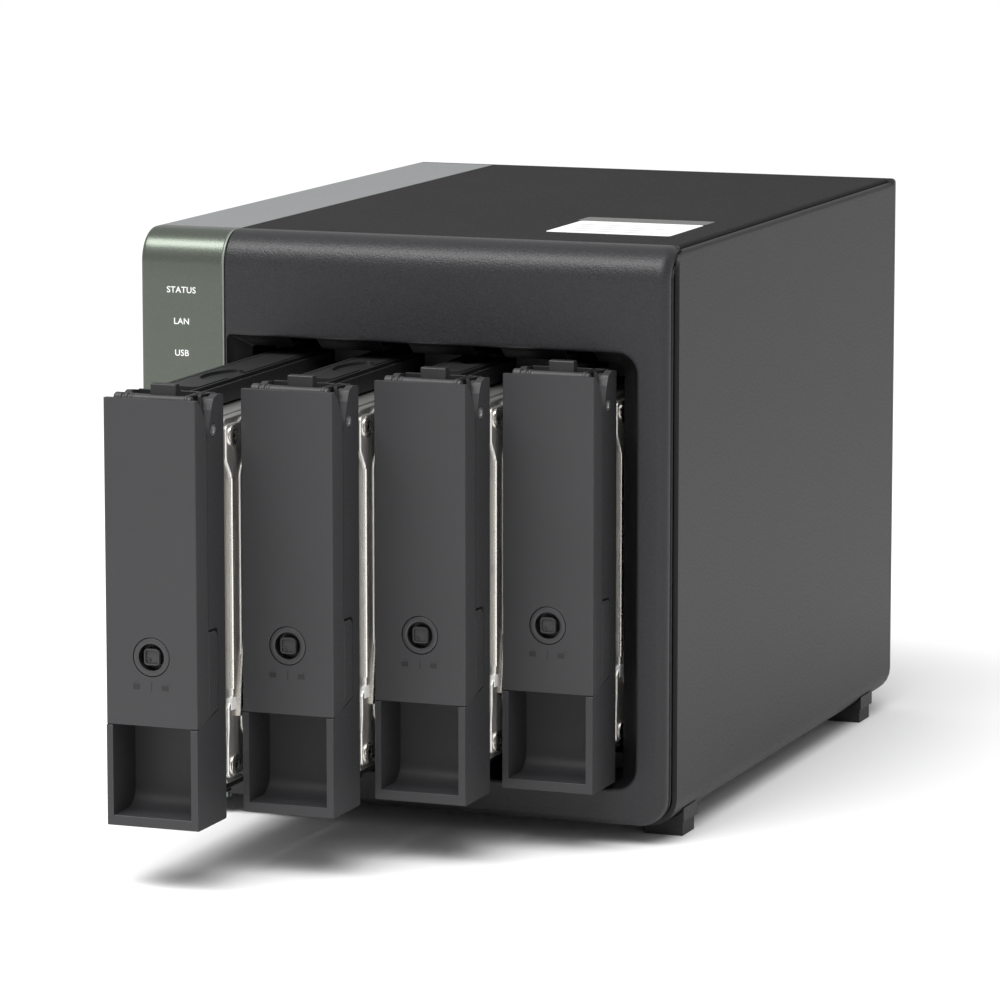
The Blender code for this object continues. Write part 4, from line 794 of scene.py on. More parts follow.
def makeHandle(n, s):
    # one tray's handle, a U section along the handle's path, and what sits on it
    low, high = handleBoxes[n - 1]
    x0, y0 = low[0], low[1] + s["setBack"]
    width = trayBoxes[n - 1][1][0] - trayBoxes[n - 1][0][0]
    wall, plate = s["wall"], s["plate"]
    loops = uLoops(handlePath(s), width, plate, wall, 0.35)
    shells = [shift(loft(loops), (x0, y0, 0))]
    lockX, lockZ = x0 + width / 2, s["lockZ"]
    hole = turned([(0, -2), (5.4, -2), (5.4, 3), (0, 3)], (lockX, y0, lockZ),
            "y", 64)
    piece(f"handleShell{n}", shells, "tray", f"handle_{n}", [f"handle_{n}"], "tray", edge=0.22,
          cutters=[hole])
    pinY, pinZ = y0 + s["pinY"], s["pinZ"]
    ear = rounded([(y0 + plate * 0.6, pinZ - 7, 0), (pinY + 0.5, pinZ - 3.2, 2.2),
            (pinY + 3.0, pinZ, 2.2), (pinY, pinZ + 2.7, 1.8), (y0 + plate * 0.6, pinZ - 0.7, 0)])
    ears = [prism(ear, "x", x, x + 1.8) for x in (x0 + 4.1, x0 + width - 5.9)]
    steps = [(0, 2.0), (1.25, 2.0), (1.6, 2.4), (1.6, 4.3), (1.15, 4.5), (1.15, 5.2), (1.55, 5.3),
            (1.55, 6.0), (1.15, 6.1),
            (1.15, 6.7), (1.5, 6.8), (1.5, 7.3), (1.25, 7.5), (1.25, 22.6), (1.5, 22.7), (1.5, 23.3),
            (1.2, 23.5), (1.2, 24.4), (0, 24.4)]
    barParts = [turned(np.array(steps), (x0, y0 + 3.4, trayTop - 0.35), "x", 24)]
    link1 = prism(box2(y0 + 1.2, y0 + 3.6, trayTop - 5.0, trayTop - 1.2, 0.5), "x",
            x0 + 2.2, x0 + width - 2.6)
    hookX, hookWidth = x0 + s["hook"][0], s["hook"][1]
    hook = rounded([(y0 + 3.4, trayTop - 2, 0), (y0 + 7.4, trayTop - 2, 0),
            (y0 + 7.4, trayTop + 1.2, 0.6), (y0 + 6.2, high[2], 0.5), (y0 + 3.6, high[2], 0.5)])
    hookShell = prism(hook, "x", hookX, hookX + hookWidth)
    piece(f"handleBar{n}", barParts, "tray", f"handle_{n}", (), "tray", edge=0.15)
    # the ears, link and hook take the darker copy, painted shade
    piece(f"hookTab{n}", [*ears, link1, hookShell], "trayDark", f"handle_{n}", (), "tray",
          edge=0.3, segments=3)
    front, back = y0 + s["grip"][0], y0 + s["grip"][1]
    grip = rounded([(front, 48.9, 0.3), (back, 50.0, 1.6), (back, 69.9, 1.9), (front, 69.9, 0.3)])
    pads = [prism(grip, "x", x0 - 0.06, x0 + 0.4), prism(grip, "x", x0 + width - 0.4, x0 + width + 0.06)]
    piece(f"gripPads{n}", pads, "grip", f"handle_{n}", (), "tray", edge=0.12)
    # the signs are flat dark marks on the face, painted shade in place of debossed icons
    iconZ, iconY = 56.6, y0 - 0.05
    icons = [block((lockX - 0.13, iconY, iconZ - 1.3), (lockX + 0.13, iconY + 0.3, iconZ + 1.3))]
    icons += padlock(lockX - 4.4, iconZ, iconY, 2.0, False)
    icons += padlock(lockX + 4.0, iconZ, iconY, 2.0, True)
    piece(f"lockSigns{n}", icons, "trayDark", f"handle_{n}", (), "tray")


def makeLock(n, s):
    # one tray's lock, halfway across the tray
    low = handleBoxes[n - 1][0]
    x = low[0] + (trayBoxes[n - 1][1][0] - low[0]) / 2
    y, z = low[1] + s["setBack"], s["lockZ"]
    ring = [(0, 8.6), (5.0, 8.6), (5.2, 8.4), (5.2, 0.2), (5.12, 0.06), (5.0, 0.0), (3.8, 0.0),
            (3.72, 0.05), (3.7, 0.25), (3.65, 3.0), (0, 3.0)]
    body = turned(np.array(ring), (x, y, z), "y", 56)
    # the groove round the core takes the second finish, painted shade
    numbers = np.repeat((0, 0, 0, 0, 0, 0, 0, 1, 1, 1), 56)
    half = 2.25
    core = prism(rounded([(x - half, z - half, 0.9), (x + half, z - half, 0.9), (x + half, z + half, 1.3),
            (x - half, z + half, 0.9)]), "y", y + 0.85, y + 4)
    rim = rounded([(x - half, z - half, 0.9), (x + half, z - half, 0.9), (x + half, z + half, 1.3),
            (x - half, z + half, 0.9)])
    rimPath = np.column_stack((rim[:, 0], np.full(len(rim), y + 0.36), rim[:, 1]))
    centre = np.array((x, y + 0.36, z))
    rimTube = tube(centre + (rimPath - centre) * 0.9, 0.24, (0, 1, 0), 6, ring=True)
    mark = [(x - 1.7, z - 0.5), (x - 0.6, z - 0.5), (x - 0.6, z - 1.5)]
    markPath = np.array([(u, y + 0.7, v) for u, v in mark])
    markTube = tube(markPath, 0.2, (0, 1, 0), 6)
    cam = block((x, y + 6.4, z - 2), (x + 8.7, y + 8.4, z + 2), 0.8)
    shells = [(*body, numbers), core, rimTube, markTube, cam]
    piece(f"lockBody{n}", shells, ["lock", "recessShade"], f"lock_{n}", [f"lock_{n}"],
          "lock", sharp=38)


def makeFrame(n, s):
    # one tray's frame with its ribbed top and guide rails
    low, high = trayBoxes[n - 1]
    x0, y0, z0 = low
    width = high[0] - x0
    x1 = x0 + width
    wall, depth = s["wall"], s["frameDepth"]
    bottom = s["handleBottom"] - 0.35
    flange = y0 + s["flange"] + 0.35
    bump = y0 + s["bump"][0] + 0.4
    side = rounded([
        (y0, z0, 0.5), (y0 + depth, z0, 0.5), (y0 + depth, trayTop - 0.2, 0.6),
        (y0 + 15.4, trayTop + 0.2, 0.8), (y0 + 12.4, trayTop - 0.8, 1.2),
        (y0 + 11.0, trayTop - 3.6, 1.5), (flange, 121.8, 1.5),
        (flange, s["bump"][1] + 0.6, 0.5), (bump, s["bump"][1] + 0.6, 1.2),
        (bump, s["handleBottom"] + s["gripRise"] - 0.4, 0.4), (y0, bottom, 0.3),
    ])
    shells = [prism(side, "x", x0, x0 + wall), prism(side, "x", x1 - wall - 0.2, x1)]
    thick = rounded([(flange, 117, 0), (y0 + 15, 117, 0), (y0 + 15, trayTop - 0.6, 0),
            (y0 + 12.4, trayTop - 0.8, 1.2), (y0 + 11.0, trayTop - 3.6, 1.5), (flange, 121.8, 1.5)])
    shells += [prism(thick, "x", x0 + wall * 0.5, x0 + 3.6), prism(thick, "x", x1 - 3.6, x1 - wall * 0.5)]
    floorZ, fillet = z0 + s["recessFloor"], s["recessFillet"]
    back = y0 + s["recessBack"]
    scoop = rounded([(y0, z0, 0.5), (y0 + depth, z0, 0), (y0 + depth, bottom + 4, 0), (back, bottom + 4, 0),
            (back, floorZ, fillet), (y0, floorZ, 0.3)], 8)
    shells.append(prism(scoop, "x", x0 + wall * 0.5, x1 - wall * 0.5))
    shells.append(block((x0 + wall * 0.5, y0 + depth - 2, z0 + 1),
            (x1 - wall * 0.5, y0 + depth, trayTop - 1.6)))
    hole = turned([(0, x0 - 1), (1.9, x0 - 1), (1.9, x1 + 1), (0, x1 + 1)],
            (0, y0 + s["pinY"], s["pinZ"]), "x", 28)
    piece(f"frameShell{n}", shells, "frame", f"tray_{n}", [f"tray_frame_{n}"], "tray", edge=0.2,
          cutters=[hole], union=True)

    deck = trayTop - 4.6  # floor of the pockets on the top, under the ribs
    ribTop = trayTop + 0.1
    top = [block((x0 + 2.1, y0 + 9.2, deck), (x1 - 2.1, y0 + depth, deck + 1.0), 0, "z")]
    thin = 0.45

    def rib(xa, ya, xb, yb):
        # a thin upright wall between two places on the deck
        run = np.array((xb - xa, yb - ya))
        side = np.array((-run[1], run[0])) / np.linalg.norm(run) * thin
        corners = [(xa + side[0], ya + side[1]), (xb + side[0], yb + side[1]), (xb - side[0], yb - side[1]),
                (xa - side[0], ya - side[1])]
        return prism(np.array(corners), "z", deck, ribTop)

    nearY, farY = y0 + 9.6, y0 + depth - thin
    top += [rib(x0 + 2.1, farY, x1 - 2.1, farY), rib(x0 + 2.1, nearY, x0 + 11.4, nearY)]
    top += [rib(x0 + 11.4, nearY, x0 + 11.4, farY), rib(x0 + 20.2, nearY, x0 + 20.2, farY)]
    top += [rib(x0 + 20.2, nearY, x1 - 2.8, farY), rib(x0 + 20.2, farY, x1 - 2.8, nearY)]
    nose = rounded([(y0 + 7.6, trayTop - 2.2, 0.6), (y0 + 11.5, trayTop - 3.4, 0), (y0 + 12, ribTop, 0),
            (y0 + 9.0, ribTop - 0.1, 1.0), (y0 + 7.6, trayTop - 0.9, 0.6)])
    top.append(prism(nose, "x", x0 + 2.1, x0 + 3.6))
    # the top's deck and ribs take the darker copy, painted shade in the pockets
    piece(f"frameTop{n}", top, "trayDark", f"tray_{n}", (), "tray", edge=0.12)

    railEnd = high[1]
    railTop = trayTop - 2.4
    driveLow, driveHigh = boxOf(f"drive_{n}")
    rails = [block((x0 + 1.0, y0 + depth - 1, driveHigh[2] + 0.6),
            (x0 + 16.4, railEnd, railTop - 0.2), 0.6)]
    rails.append(block((x0 + 1.0, y0 + depth - 1, z0 + 2.2), (x0 + 16.4, railEnd, driveLow[2] - 0.6), 0.6))
    for x, rise in ((x0 + 14.6, 1.7), (x0 + 16.0, 0.9)):  # raised edges of the guide rail
        rails.append(block((x - 0.35, y0 + depth, railTop - 1), (x + 0.35, railEnd - 4, railTop + rise)))
    for k in range(9):  # small cross ribs between them
        y = y0 + depth + (6 + 16 * k)
        rails.append(block((x0 + 14.4, y, railTop - 1), (x0 + 16.3, y + 0.9, railTop + 0.8)))
    piece(f"frameRails{n}", rails, "trayDark", f"tray_{n}", (), "tray", edge=0.12)

    for name, side in (("upper_clip", 1), ("lower_clip", -1)):
        clipLow, clipHigh = boxOf(f"{name}_{n}")
        plate = rounded([(clipLow[0], clipLow[1], 1.5), (clipHigh[0], clipLow[1], 1.5),
                (clipHigh[0], clipHigh[1], 1.5), (clipLow[0], clipHigh[1], 1.5)])
        shells = [prism(plate, "z", clipLow[2], clipHigh[2])]
        face = clipHigh[2] if side > 0 else clipLow[2]
        a = arc(0, 360, 25)[:-1]
        centre = np.array((clipLow[0] + 7.4, clipLow[1] + 26))
        lens = centre + np.stack((4.8 * np.sign(np.cos(a)) * np.abs(np.cos(a)) ** 1.2,
                11.5 * np.sin(a)), -1)
        scoop = prism(lens, "z", face - 0.9, face + 0.9)
        groove = block((clipLow[0] + 1.2, clipLow[1] + 4, face - 0.25),
                (clipLow[0] + 1.6, clipHigh[1] - 4, face + 0.25))
        piece(f"{name}Plate{n}".replace("_clip", "Clip"), shells, "trayDark", f"tray_{n}",
              [f"{name}_{n}"], "tray", edge=0.2, cutters=[scoop, groove])

    pinY, pinZ = y0 + s["pinY"], s["pinZ"]
    end = [(0, 0.55), (0.95, 0.55), (1.05, 0.15), (1.6, 0.05), (1.68, 0.3), (1.68, 1.2)]
    half = width / 2
    right = [(r, half - d) for r, d in end]
    profile = right + [(r, -d) for r, d in right[::-1]]
    piece(f"hingePin{n}", [turned(profile, (x0 + half, pinY, pinZ), "x", 28)], "pinEnd", f"tray_{n}",
          [f"handle_pin_{n}"], "steel")


driveSizes = {
    "lidStep": 1.3,  # how far the lid stands out of the casting
    "screwRadius": 3.0,
    "tab": (1.0, 10.0),  # from the drive's front, the lid's screw tabs
    "raisedInset": 4.2,  # from the drive's edges to the lid's raised middle
    "hubPlace": 88,  # from the drive's front to the spindle
}


def screwShells(x, y, z, radius, out):
    # a pan-head screw facing +X, or -X, with a six-lobed socket
    profile = np.array([(0, 0.3), (0.44, 0.3), (0.5, 0.72), (0.6, 0.8), (0.84, 0.74), (0.97, 0.5),
            (1.0, 0.0), (1.0, -0.6), (0, -0.6)])
    # the socket's floor and wall take the second finish, painted shade in the recess
    head = (*turned(profile * (radius, 1.1 * out), (x, y, z), "x", 32),
            np.repeat((1, 1, 0, 0, 0, 0, 0, 0), 32))
    lobes = []
    for k in range(3):
        bar = block((x + 0.2 * out, y - radius * 0.42, z - radius * 0.11),
                (x + 0.7 * out, y + radius * 0.42, z + radius * 0.11), 0, "x")
        lobes.append(turnAbout(bar, (x, y, z), 60 * k))
    return head, lobes


def makeDrive(n, s):
    # the drive in one tray
    low, high = boxOf(f"drive_{n}")
    x0, y0, z0 = low
    x1, y1, z1 = high
    step = s["lidStep"]
    lidX = x1 - step
    cast = rounded([(y0, z0, 2), (y1, z0, 2), (y1, z1, 2), (y0, z1, 2)])
    inner = [prism(cast, "x", x0 + 2.2, lidX - 2.4)]
    flangeLoop = rounded([(y0 + 0.6, z0 + 0.5, 2.5), (y1 - 0.6, z0 + 0.5, 2.5),
            (y1 - 0.6, z1 - 0.5, 2.5), (y0 + 0.6, z1 - 0.5, 2.5)])
    inner.append(prism(flangeLoop, "x", lidX - 2.6, lidX))
    piece(f"driveCasting{n}", inner, "driveCast", f"tray_{n}", [f"drive_{n}"], "drive",
          edge=0.5, segments=3)

    tabY, notchY = y0 + s["tab"][0], y0 + s["tab"][1]
    lid = rounded([
        (tabY, z0 + 2.2, 1.8), (notchY, z0 + 2.2, 1.8), (notchY + 3, z0 + 1.2, 2),
        (y1 - 4, z0 + 1.2, 3), (y1 - 1.6, z0 + 6, 3), (y1 - 1.6, z1 - 6, 3),
        (y1 - 4, z1 - 1.2, 3), (notchY + 3, z1 - 1.2, 2), (notchY, z1 - 2.2, 1.8),
        (tabY, z1 - 2.2, 1.8), (tabY, z1 - 11.5, 2.2), (tabY + 3.4, z1 - 16, 2.5),
        (tabY + 3.4, z0 + 24.5, 1.0), (tabY + 0.6, z0 + 21.5, 1.0), (tabY + 0.6, z0 + 16, 1.0),
        (tabY, z0 + 11.5, 2.2),
    ], 6)
    lidShell = prism(lid, "x", lidX - 0.4, lidX + 0.75)
    inset = s["raisedInset"]
    raised = rounded([
        (y0 + 9.5, z0 + 15, 5), (y0 + 17, z0 + inset + 1.5, 6), (y1 - 18, z0 + inset + 1.5, 8),
        (y1 - inset, z0 + 20, 8), (y1 - inset, z1 - 20, 8), (y1 - 18, z1 - inset - 1.5, 8),
        (y0 + 17, z1 - inset - 1.5, 6), (y0 + 9.5, z1 - 16, 5),
    ], 8)
    raisedShell = prism(raised, "x", lidX + 0.3, lidX + 1.35)
    piece(f"driveLid{n}", [lidShell, raisedShell], "drive", f"tray_{n}", (), "drive", edge=0.55, segments=4)

    # an embossed bead: from the upper tab it sweeps down and forward in a long S
    t = np.linspace(0, 1, 60)
    y = y0 + (16.5 - 9.0 * t ** 0.8 + 1.6 * np.sin(math.pi * t))
    z = z1 - (9 + 74 * t)
    bead = tube(np.stack((np.full(60, lidX + 1.15), y, z), -1), 0.75, (1, 0, 0), 10)
    edgeT = np.linspace(0, 1, 30)
    rim = np.stack((np.full(30, lidX + 0.55), np.full(30, tabY + 3.7), z1 - (17 + 58 * edgeT)), -1)
    beads = [bead, tube(rim, 0.55, (1, 0, 0), 10)]
    hub = (lidX + 0.9, y0 + s["hubPlace"], (z0 + z1) / 2)
    beads.append(turned(np.array([(0, 0.75), (17, 0.75), (17.8, 0.5), (18, 0.1), (18, -0.4),
            (0, -0.4)]), hub, "x", 64))
    beads.append(turned(np.array([(24, 0.2), (24.6, 0.75), (25.4, 0.75), (26, 0.2), (25.5, -0.3),
            (24.5, -0.3), (24, 0.2)]), (lidX + 0.8, hub[1], hub[2]), "x", 72))
    piece(f"driveBeads{n}", beads, "chrome", f"tray_{n}", (), "drive")

    screws = []
    radius = s["screwRadius"]
    places = [(y0 + 5.2, z1 - 5.4), (y0 + 5.2, z0 + 5.4), (y1 - 6.5, z1 - 10), (y1 - 6.5, z0 + 10),
            (y0 + 74, z1 - 3.9), (y0 + 74, z0 + 3.9)]
    for k, (sy, sz) in enumerate(places):
        head, lobes = screwShells(lidX + 0.62, sy, sz, radius if k < 4 else radius * 0.8, 1)
        screws += [head, *lobes]
    piece(f"driveScrews{n}", screws, ["chrome", "recessShade"], f"tray_{n}", (), "steel")

    spacer = block((lidX - 2.5, y0 + 3.0, z0 + 20.8), (lidX + 0.9, y0 + 6.4, z0 + 24.2), 0.4, "x")
    piece(f"driveSpacer{n}", [spacer], "label", f"tray_{n}", (), "drive", edge=0.15)

    boardX = x0 + 1.0
    card = rounded([(y1 - 62, z0 + 4, 3), (y1 - 1, z0 + 4, 1), (y1 - 1, z1 - 14, 4),
            (y1 - 26, z1 - 5, 6), (y1 - 62, z1 - 5, 3)])
    parts = [(*prism(card, "x", boardX, x0 + 2.4), 0)]
    for cy, cz, w, h in ((44, 60, 13, 13), (24, 74, 11, 8), (22, 52, 8, 10), (46, 30, 9, 6), (28, 28, 6, 6),
            (50, 82, 5, 5)):
        chip = block((x0 + 0.25, y1 - cy - w / 2, z0 + cz - h / 2),
                (boardX + 0.2, y1 - cy + w / 2, z0 + cz + h / 2), 0.4, "x")
        parts.append((*chip, 1))
    spindle = turned(np.array([(0, 0.2), (10, 0.2), (10.6, 0.6), (11, 2.6), (0, 2.6)]),
            (x0, y0 + 62, hub[2]), "x", 48)
    parts.append((*spindle, 2))
    plug = block((x0 + 0.2, y1 - 8, 37.5), (x0 + 6.0, y1 - 3.6, 74.5), 0.4, "x")
    parts.append((*plug, 1))
    piece(f"driveUnderside{n}", parts, ["driveBoard", "black", "steel"], f"tray_{n}", (),
          "drive", edge=0.15)


for n in range(1, trayCount + 1):
    makeHandle(n, traySizes)
    makeLock(n, traySizes)
    makeFrame(n, traySizes)
    makeDrive(n, driveSizes)
print("trays ready")


# controls, labels and feet

controlSizes = {
    "labels": (("STATUS", 17.1), ("LAN", 26.1), ("USB", 35.2)),  # word and distance below the top
    "letterHeight": 1.75,
    "labelDepth": 0.05,
    "sticker": (37.5, 31.0, 0.12),
    "film": (39.0, 10.0),
    "stickerPlace": (10, 21.5, 0.14),  # in from the top's right edge, its front edge and its surface
    "lines": (0.86, 0.80, 0.84, 0.55),  # how long each line on the label is
}


def makeButtons():
    # round buttons at the middle of their boxes, the radius half the box's width
    for name in stripSizes["buttons"]:
        low, high = boxOf(name)
        centre = (low + high) / 2
        radius = (high[0] - low[0]) / 2
        deep = high[1] - low[1]
        r = radius
        profile = np.array([(0, 0.18), (r * 0.5, 0.12), (r - 0.9, 0.02), (r - 0.4, 0.1), (r - 0.1, 0.35),
                (r, 0.8), (r, deep), (0, deep)])
        shells = [turned(profile, (centre[0], low[1], centre[2]), "y", 48)]
        a = arc(50, -230, 30)
        size = radius * 0.42
        ring = np.stack((centre[0] + size * np.cos(a), np.full(30, low[1] + 0.08),
                centre[2] + size * np.sin(a)), -1)
        sign = [tube(ring, 0.2, (0, 1, 0), 8)]
        if name == "power_button":
            bar = np.array([(centre[0], low[1] + 0.08,
                    centre[2] + size * share) for share in (0.25, 0.7, 1.2)])
            sign.append(tube(bar, 0.2, (0, 1, 0), 8))
        made = [(*shells[0], 0)] + [(*part, 1) for part in sign]
        piece(name.replace("_b", "B") + "Cap", made, ["strip", "print"], name, [name],
              "green_strip")


def makeLabels(s):
    # the strip's words; the text's size is the letter's height over 0.70
    x = (stripLow[0] + stripHigh[0]) / 2 - 0.3
    for word, drop in s["labels"]:
        text = bpy.data.curves.new(word, "FONT")
        text.body = word
        text.size = s["letterHeight"] * mm / 0.70
        text.space_character = 1.05
        text.offset = 0.03 * mm
        text.extrude = s["labelDepth"] * mm
        text.align_x, text.align_y = "CENTER", "CENTER"
        letters = bpy.data.objects.new(word, text)
        bpy.context.scene.collection.objects.link(letters)
        bpy.context.view_layer.update()
        mesh = bpy.data.meshes.new_from_object(letters.evaluated_get(bpy.context.evaluated_depsgraph_get()))
        bpy.data.objects.remove(letters)
        places = np.zeros(len(mesh.vertices) * 3)
        mesh.vertices.foreach_get("co", places)
        places = places.reshape(-1, 3) / mm
        upright = np.stack((places[:, 0] + x, faceY - places[:, 2] + 0.01, places[:, 1] + topZ - drop), -1)
        mesh.vertices.foreach_set("co", (upright * mm).ravel())
        mesh.materials.clear()
        mesh.materials.append(finishes["print"])
        made = bpy.data.objects.new(f"label{word.title()}", mesh)
        bpy.context.scene.collection.objects.link(made)
        work = bmesh.new()
        work.from_mesh(mesh)
        bmesh.ops.remove_doubles(work, verts=work.verts, dist=1e-7)
        bmesh.ops.recalc_face_normals(work, faces=work.faces)
        work.to_mesh(mesh)
        work.free()
        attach(made, "cabinet")


makeButtons()
makeLabels(controlSizes)


footSizes = {
    "padTop": 4.3,  # height of the pad under the bracket
    "step": 0.7,  # how far the pad's sides stand in from the bracket's
    "gap": 0.25,  # between the bracket and the cover's rolled edge
}


def makeFeet(s):
    # a bracket that follows the rolled edge, and a smaller pad under it
    for number in range(1, 5):
        low, high = boxOf(f"foot_{number}")
        side = 1 if low[0] > 0 else -1
        outer = high[0] if side > 0 else low[0]
        inner = low[0] if side > 0 else high[0]
        covers = boxOf("right_cover" if side > 0 else "left_cover")
        edge = covers[1][0] if side > 0 else covers[0][0]
        roll = coverSizes["rollRadius"]
        reach = roll + s["gap"]
        centre = np.array((edge - side * roll, covers[0][2] + roll))
        first = -math.degrees(math.acos(min(1.0, abs(outer - centre[0]) / (reach))))
        a = arc(first, -90, 9)
        curve = centre + (reach) * np.stack((side * np.cos(a), np.sin(a)), -1)
        padTop = s["padTop"]
        bracket = np.concatenate((curve, [(inner, curve[-1, 1]), (inner, padTop), (outer, padTop)]))
        step = s["step"]
        pad = box2(min(outer, inner) + step, max(outer, inner) - step, 0, padTop + 0.2)
        shells = [(*prism(bracket, "y", low[1], high[1]), 0),
                (*prism(pad, "y", low[1] + step * 1.6, high[1] - step), 1)]
        piece(f"footPad{number}", shells, ["side", "foot"], "cabinet",
              [f"foot_{number}"], "foot", edge=0.25)


makeFeet(footSizes)


def makeSticker(s):
    # the sheet on the top, set in from the cover's right and front edges
    low, high = boxOf("top_cover")
    width, length, thick = (size for size in s["sticker"])
    right, front, sunk = s["stickerPlace"]
    x1, y0, z = high[0] - right, low[1] + front, high[2] - sunk
    sheetShell = prism(box2(x1 - width, x1, y0, y0 + length, 1.2), "z", z, z + thick)
    marks = []
    for k, share in enumerate(s["lines"]):
        y = y0 + (5.0 + 5.4 * k)
        marks.append(block((x1 - width + 3, y, z), (x1 - width + 3 + width * 0.86 * share,
                y + 0.7, z + thick + 0.01), 0, "z"))
    piece("topLabel", [sheetShell], "label", "cabinet", (), "top_cover")
    piece("topLabelLines", marks, "labelInk", "cabinet", (), "top_cover")
    filmWidth, filmLength = (size for size in s["film"])
    film = prism(box2(x1 - filmWidth, x1, y0 + length + 0.5, y0 + length + 0.5 + filmLength,
            1.2), "z", z, z + thick)
    piece("topFilm", [film], "film", "cabinet", (), "top_cover")


makeSticker(controlSizes)
print("controls ready")


# fan

fanSizes = {
    "rings": (16.0, 30.0, 44.0, 56.5),
    "wire": 0.75,
    "eye": 2.6,  # loops at the guard's corners
    "blades": 7,
    "hub": 20.0,
    "chord": 46,  # angle that a blade covers, in degrees
    "sweep": 18,  # how far its tip trails, in degrees
}


def makeFan(s):
    # the guard: concentric wire rings on crossed spokes that end in loops
    low, high = boxOf("fan_guard")
    rotorLow, rotorHigh = boxOf("fan_rotor")
    x, _, z = (rotorLow + rotorHigh) / 2
    wire = s["wire"]
    front, back = low[1] + wire, high[1] - wire
    reach = (high[0] - low[0]) / 2 - s["eye"]
    a = np.linspace(0, 2 * math.pi, 65)[:-1]
    shells = []
    for radius in s["rings"]:
        if radius < reach:
            ring = np.stack((x + radius * np.cos(a), np.full(64, back), z + radius * np.sin(a)), -1)
            shells.append(tube(ring, wire, (0, 1, 0), 10, ring=True))
    first = s["rings"][0] * math.sqrt(0.5)
    for sx in (-1, 1):
        for sz in (-1, 1):
            t = np.linspace(0, 1, 12)
            out = first + (reach - first) * t
            spoke = np.stack((x + sx * out, np.full(12, front), z + sz * out), -1)
            shells.append(tube(spoke, wire, (0, 1, 0), 10))
            b = a[::4]
            eye = np.stack((x + sx * reach + 2.1 * np.cos(b), np.full(16, front),
                    z + sz * reach + 2.1 * np.sin(b)), -1)
            shells.append(tube(eye, wire * 0.9, (0, 1, 0), 8, ring=True))
    piece("fanGuardWires", shells, "steel", "cabinet", ["fan_guard"], "steel")

    # the rotor: a domed hub, and blades that turn as they go back and trail towards their tips
    radius = (rotorHigh[0] - rotorLow[0]) / 2
    y0, y1 = rotorLow[1], rotorHigh[1]
    r = s["hub"]
    deep = (y1 - y0)
    hub = np.array([(0, 0.4), (r - 2, 0), (r - 0.6, 0.4), (r, 1.6), (r, deep - 1.4), (r - 1.2, deep - 0.3),
            (r * 0.6, deep), (0, deep)])
    hubShell = turned(hub, (x, y0, z), "y", 56)
    u, v = np.meshgrid(np.linspace(0, 1, 12), np.linspace(0, 1, 10), indexing="ij")
    blades = []
    for k in range(s["blades"]):
        out = (r - 0.5) + (radius - (r - 0.5)) * u
        turn = (2 * math.pi * k / s["blades"] + np.radians(s["chord"]) * v * (1 - 0.15 * u)
                + np.radians(s["sweep"]) * u ** 2)
        rise = y0 + 2.5 + (y1 - y0 - 5) * (0.5 - 0.5 * np.cos(math.pi * v))
        blades.append(sheet(np.stack((x + out * np.cos(turn), rise, z + out * np.sin(turn)), -1)))
    piece("fanHub", [hubShell], "black", "fan_rotor", ["fan_rotor"], "black_plastic")
    piece("fanBlades", blades, "black", "fan_rotor", (), "black_plastic", wall=1.5, edge=0.3)


makeFan(fanSizes)
print("fan ready")


# inner and rear nodes that keep their own shape

keptNodes = {
    "rear_panel": "rearSteel", "base_pan": "rearSteel", "drive_cage": "cage", "backplane_board": "board",
    "main_board": "board", "memory_module": "driveBoard", "heat_sink": "aluminium", "coin_cell": "steel",
    "fan_frame": "black", "lan_ports": "steel", "rear_usb_ports": "steel",
    "power_jack": "black", "reset_button": "black", "front_usb_port": "steel", "light_pipe": "lightPipe",
}
for number in range(1, trayCount + 1):
    keptNodes[f"sata_socket_{number}"] = "black"
for name, look in keptNodes.items():
    node = frame["nodes"][name]
    node.data.materials.clear()
    node.data.materials.append(finishes[look])
print("kept nodes ready")


# stage, light and camera

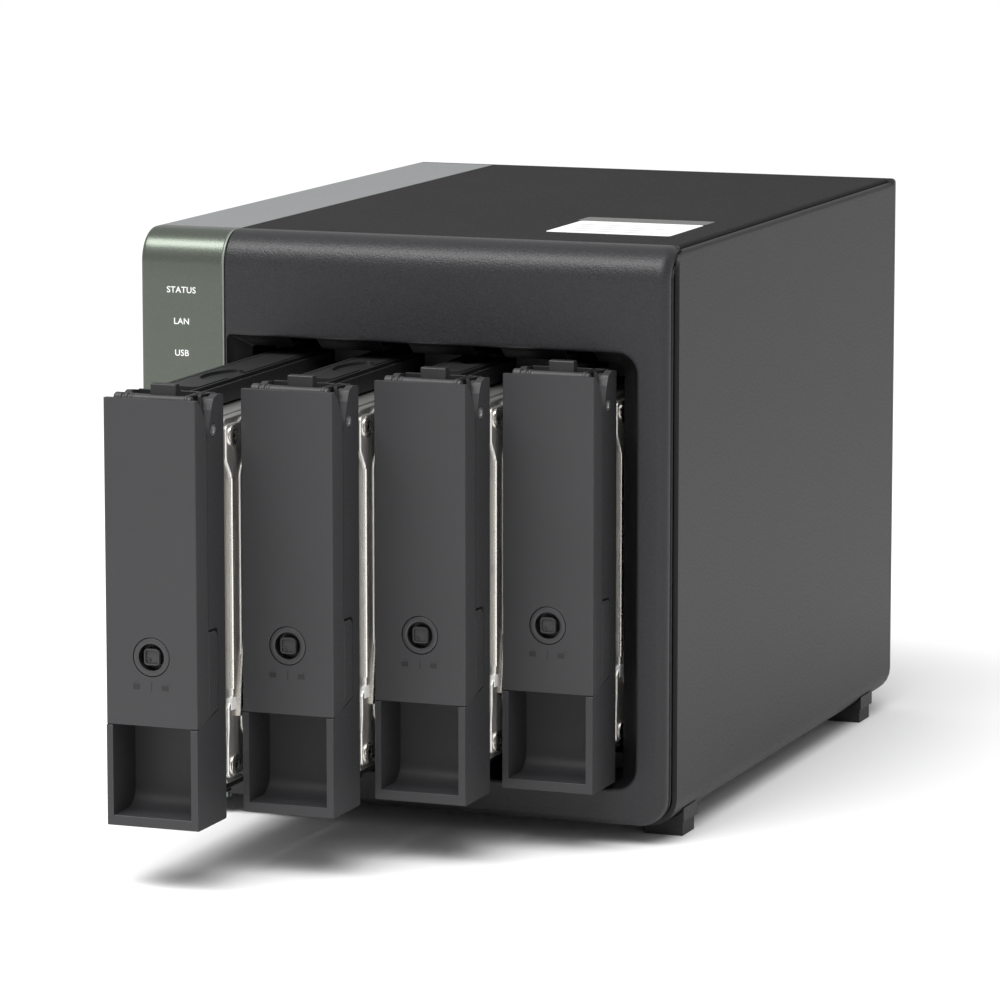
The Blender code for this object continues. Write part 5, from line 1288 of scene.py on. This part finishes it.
stageSizes = {
    "camera": (0.5476, -1.4457, 0.3295),
    "target": (0.0072, 0.0, 0.0861),
    "lens": 192.3,
    "world": 0.5,
    "sun": 2.2,
    "sunAngle": 50,
    "sunPlace": (0.25, -1.0, 1.9),
    "floor": 6000,  # half its side
    "softboxes": (  # name, place, target, size and power
        ("frontSoftbox", (-0.37, -0.60, 1.13), (0.02, -0.05, 0.16), (1.0, 0.40), 11.5),
        ("sideSoftbox", (2.2, -0.2, 0.3), (0.05, 0.05, 0.08), (1.4, 0.4), 1.0),
    ),
}


def areaLight(name, place, target, size, power):
    # a rectangular lamp at a place, turned to face its target
    light = bpy.data.lights.new(name, "AREA")
    light.shape = "RECTANGLE"
    light.size, light.size_y = size
    light.energy = power
    made = bpy.data.objects.new(name, light)
    bpy.context.scene.collection.objects.link(made)
    aim(made, place, target)


def aim(item, place, target):
    # puts an item at a place with its -Z axis towards the target
    item.location = place
    away = [there - here for there, here in zip(target, place)]
    item.rotation_euler = mathutils.Vector(away).to_track_quat("-Z", "Y").to_euler()


def makeStage(s):
    # the studio round the object
    scene = bpy.context.scene
    world = bpy.data.worlds.new("studio")
    world.use_nodes = True
    soft = world.node_tree.nodes["Background"]
    soft.inputs["Color"].default_value = (1, 1, 1, 1)
    soft.inputs["Strength"].default_value = s["world"]
    scene.world = world
    scene.view_settings.view_transform = "Standard"
    floorLook = newFinish("paleFloor", (0.93, 0.93, 0.93), 0.8)[0]
    side = s["floor"]
    mesh = makeMesh("floor", [(np.array([(-side, -side, 0), (side, -side, 0), (side, side, 0),
            (-side, side, 0)]), [[0, 1, 2, 3]])], [floorLook])
    floor = bpy.data.objects.new("floor", mesh)
    scene.collection.objects.link(floor)
    sun = bpy.data.lights.new("overhead", "SUN")
    sun.energy = s["sun"]
    sun.angle = math.radians(s["sunAngle"])
    overhead = bpy.data.objects.new("overhead", sun)
    scene.collection.objects.link(overhead)
    aim(overhead, s["sunPlace"], (0, 0, 0))
    for softbox in s["softboxes"]:
        areaLight(*softbox)
    camera = bpy.data.cameras.new("camera")
    camera.lens = s["lens"]
    camera.sensor_width = 36
    view = bpy.data.objects.new("camera", camera)
    scene.collection.objects.link(view)
    aim(view, s["camera"], s["target"])
    scene.camera = view


makeStage(stageSizes)
print("stage ready")
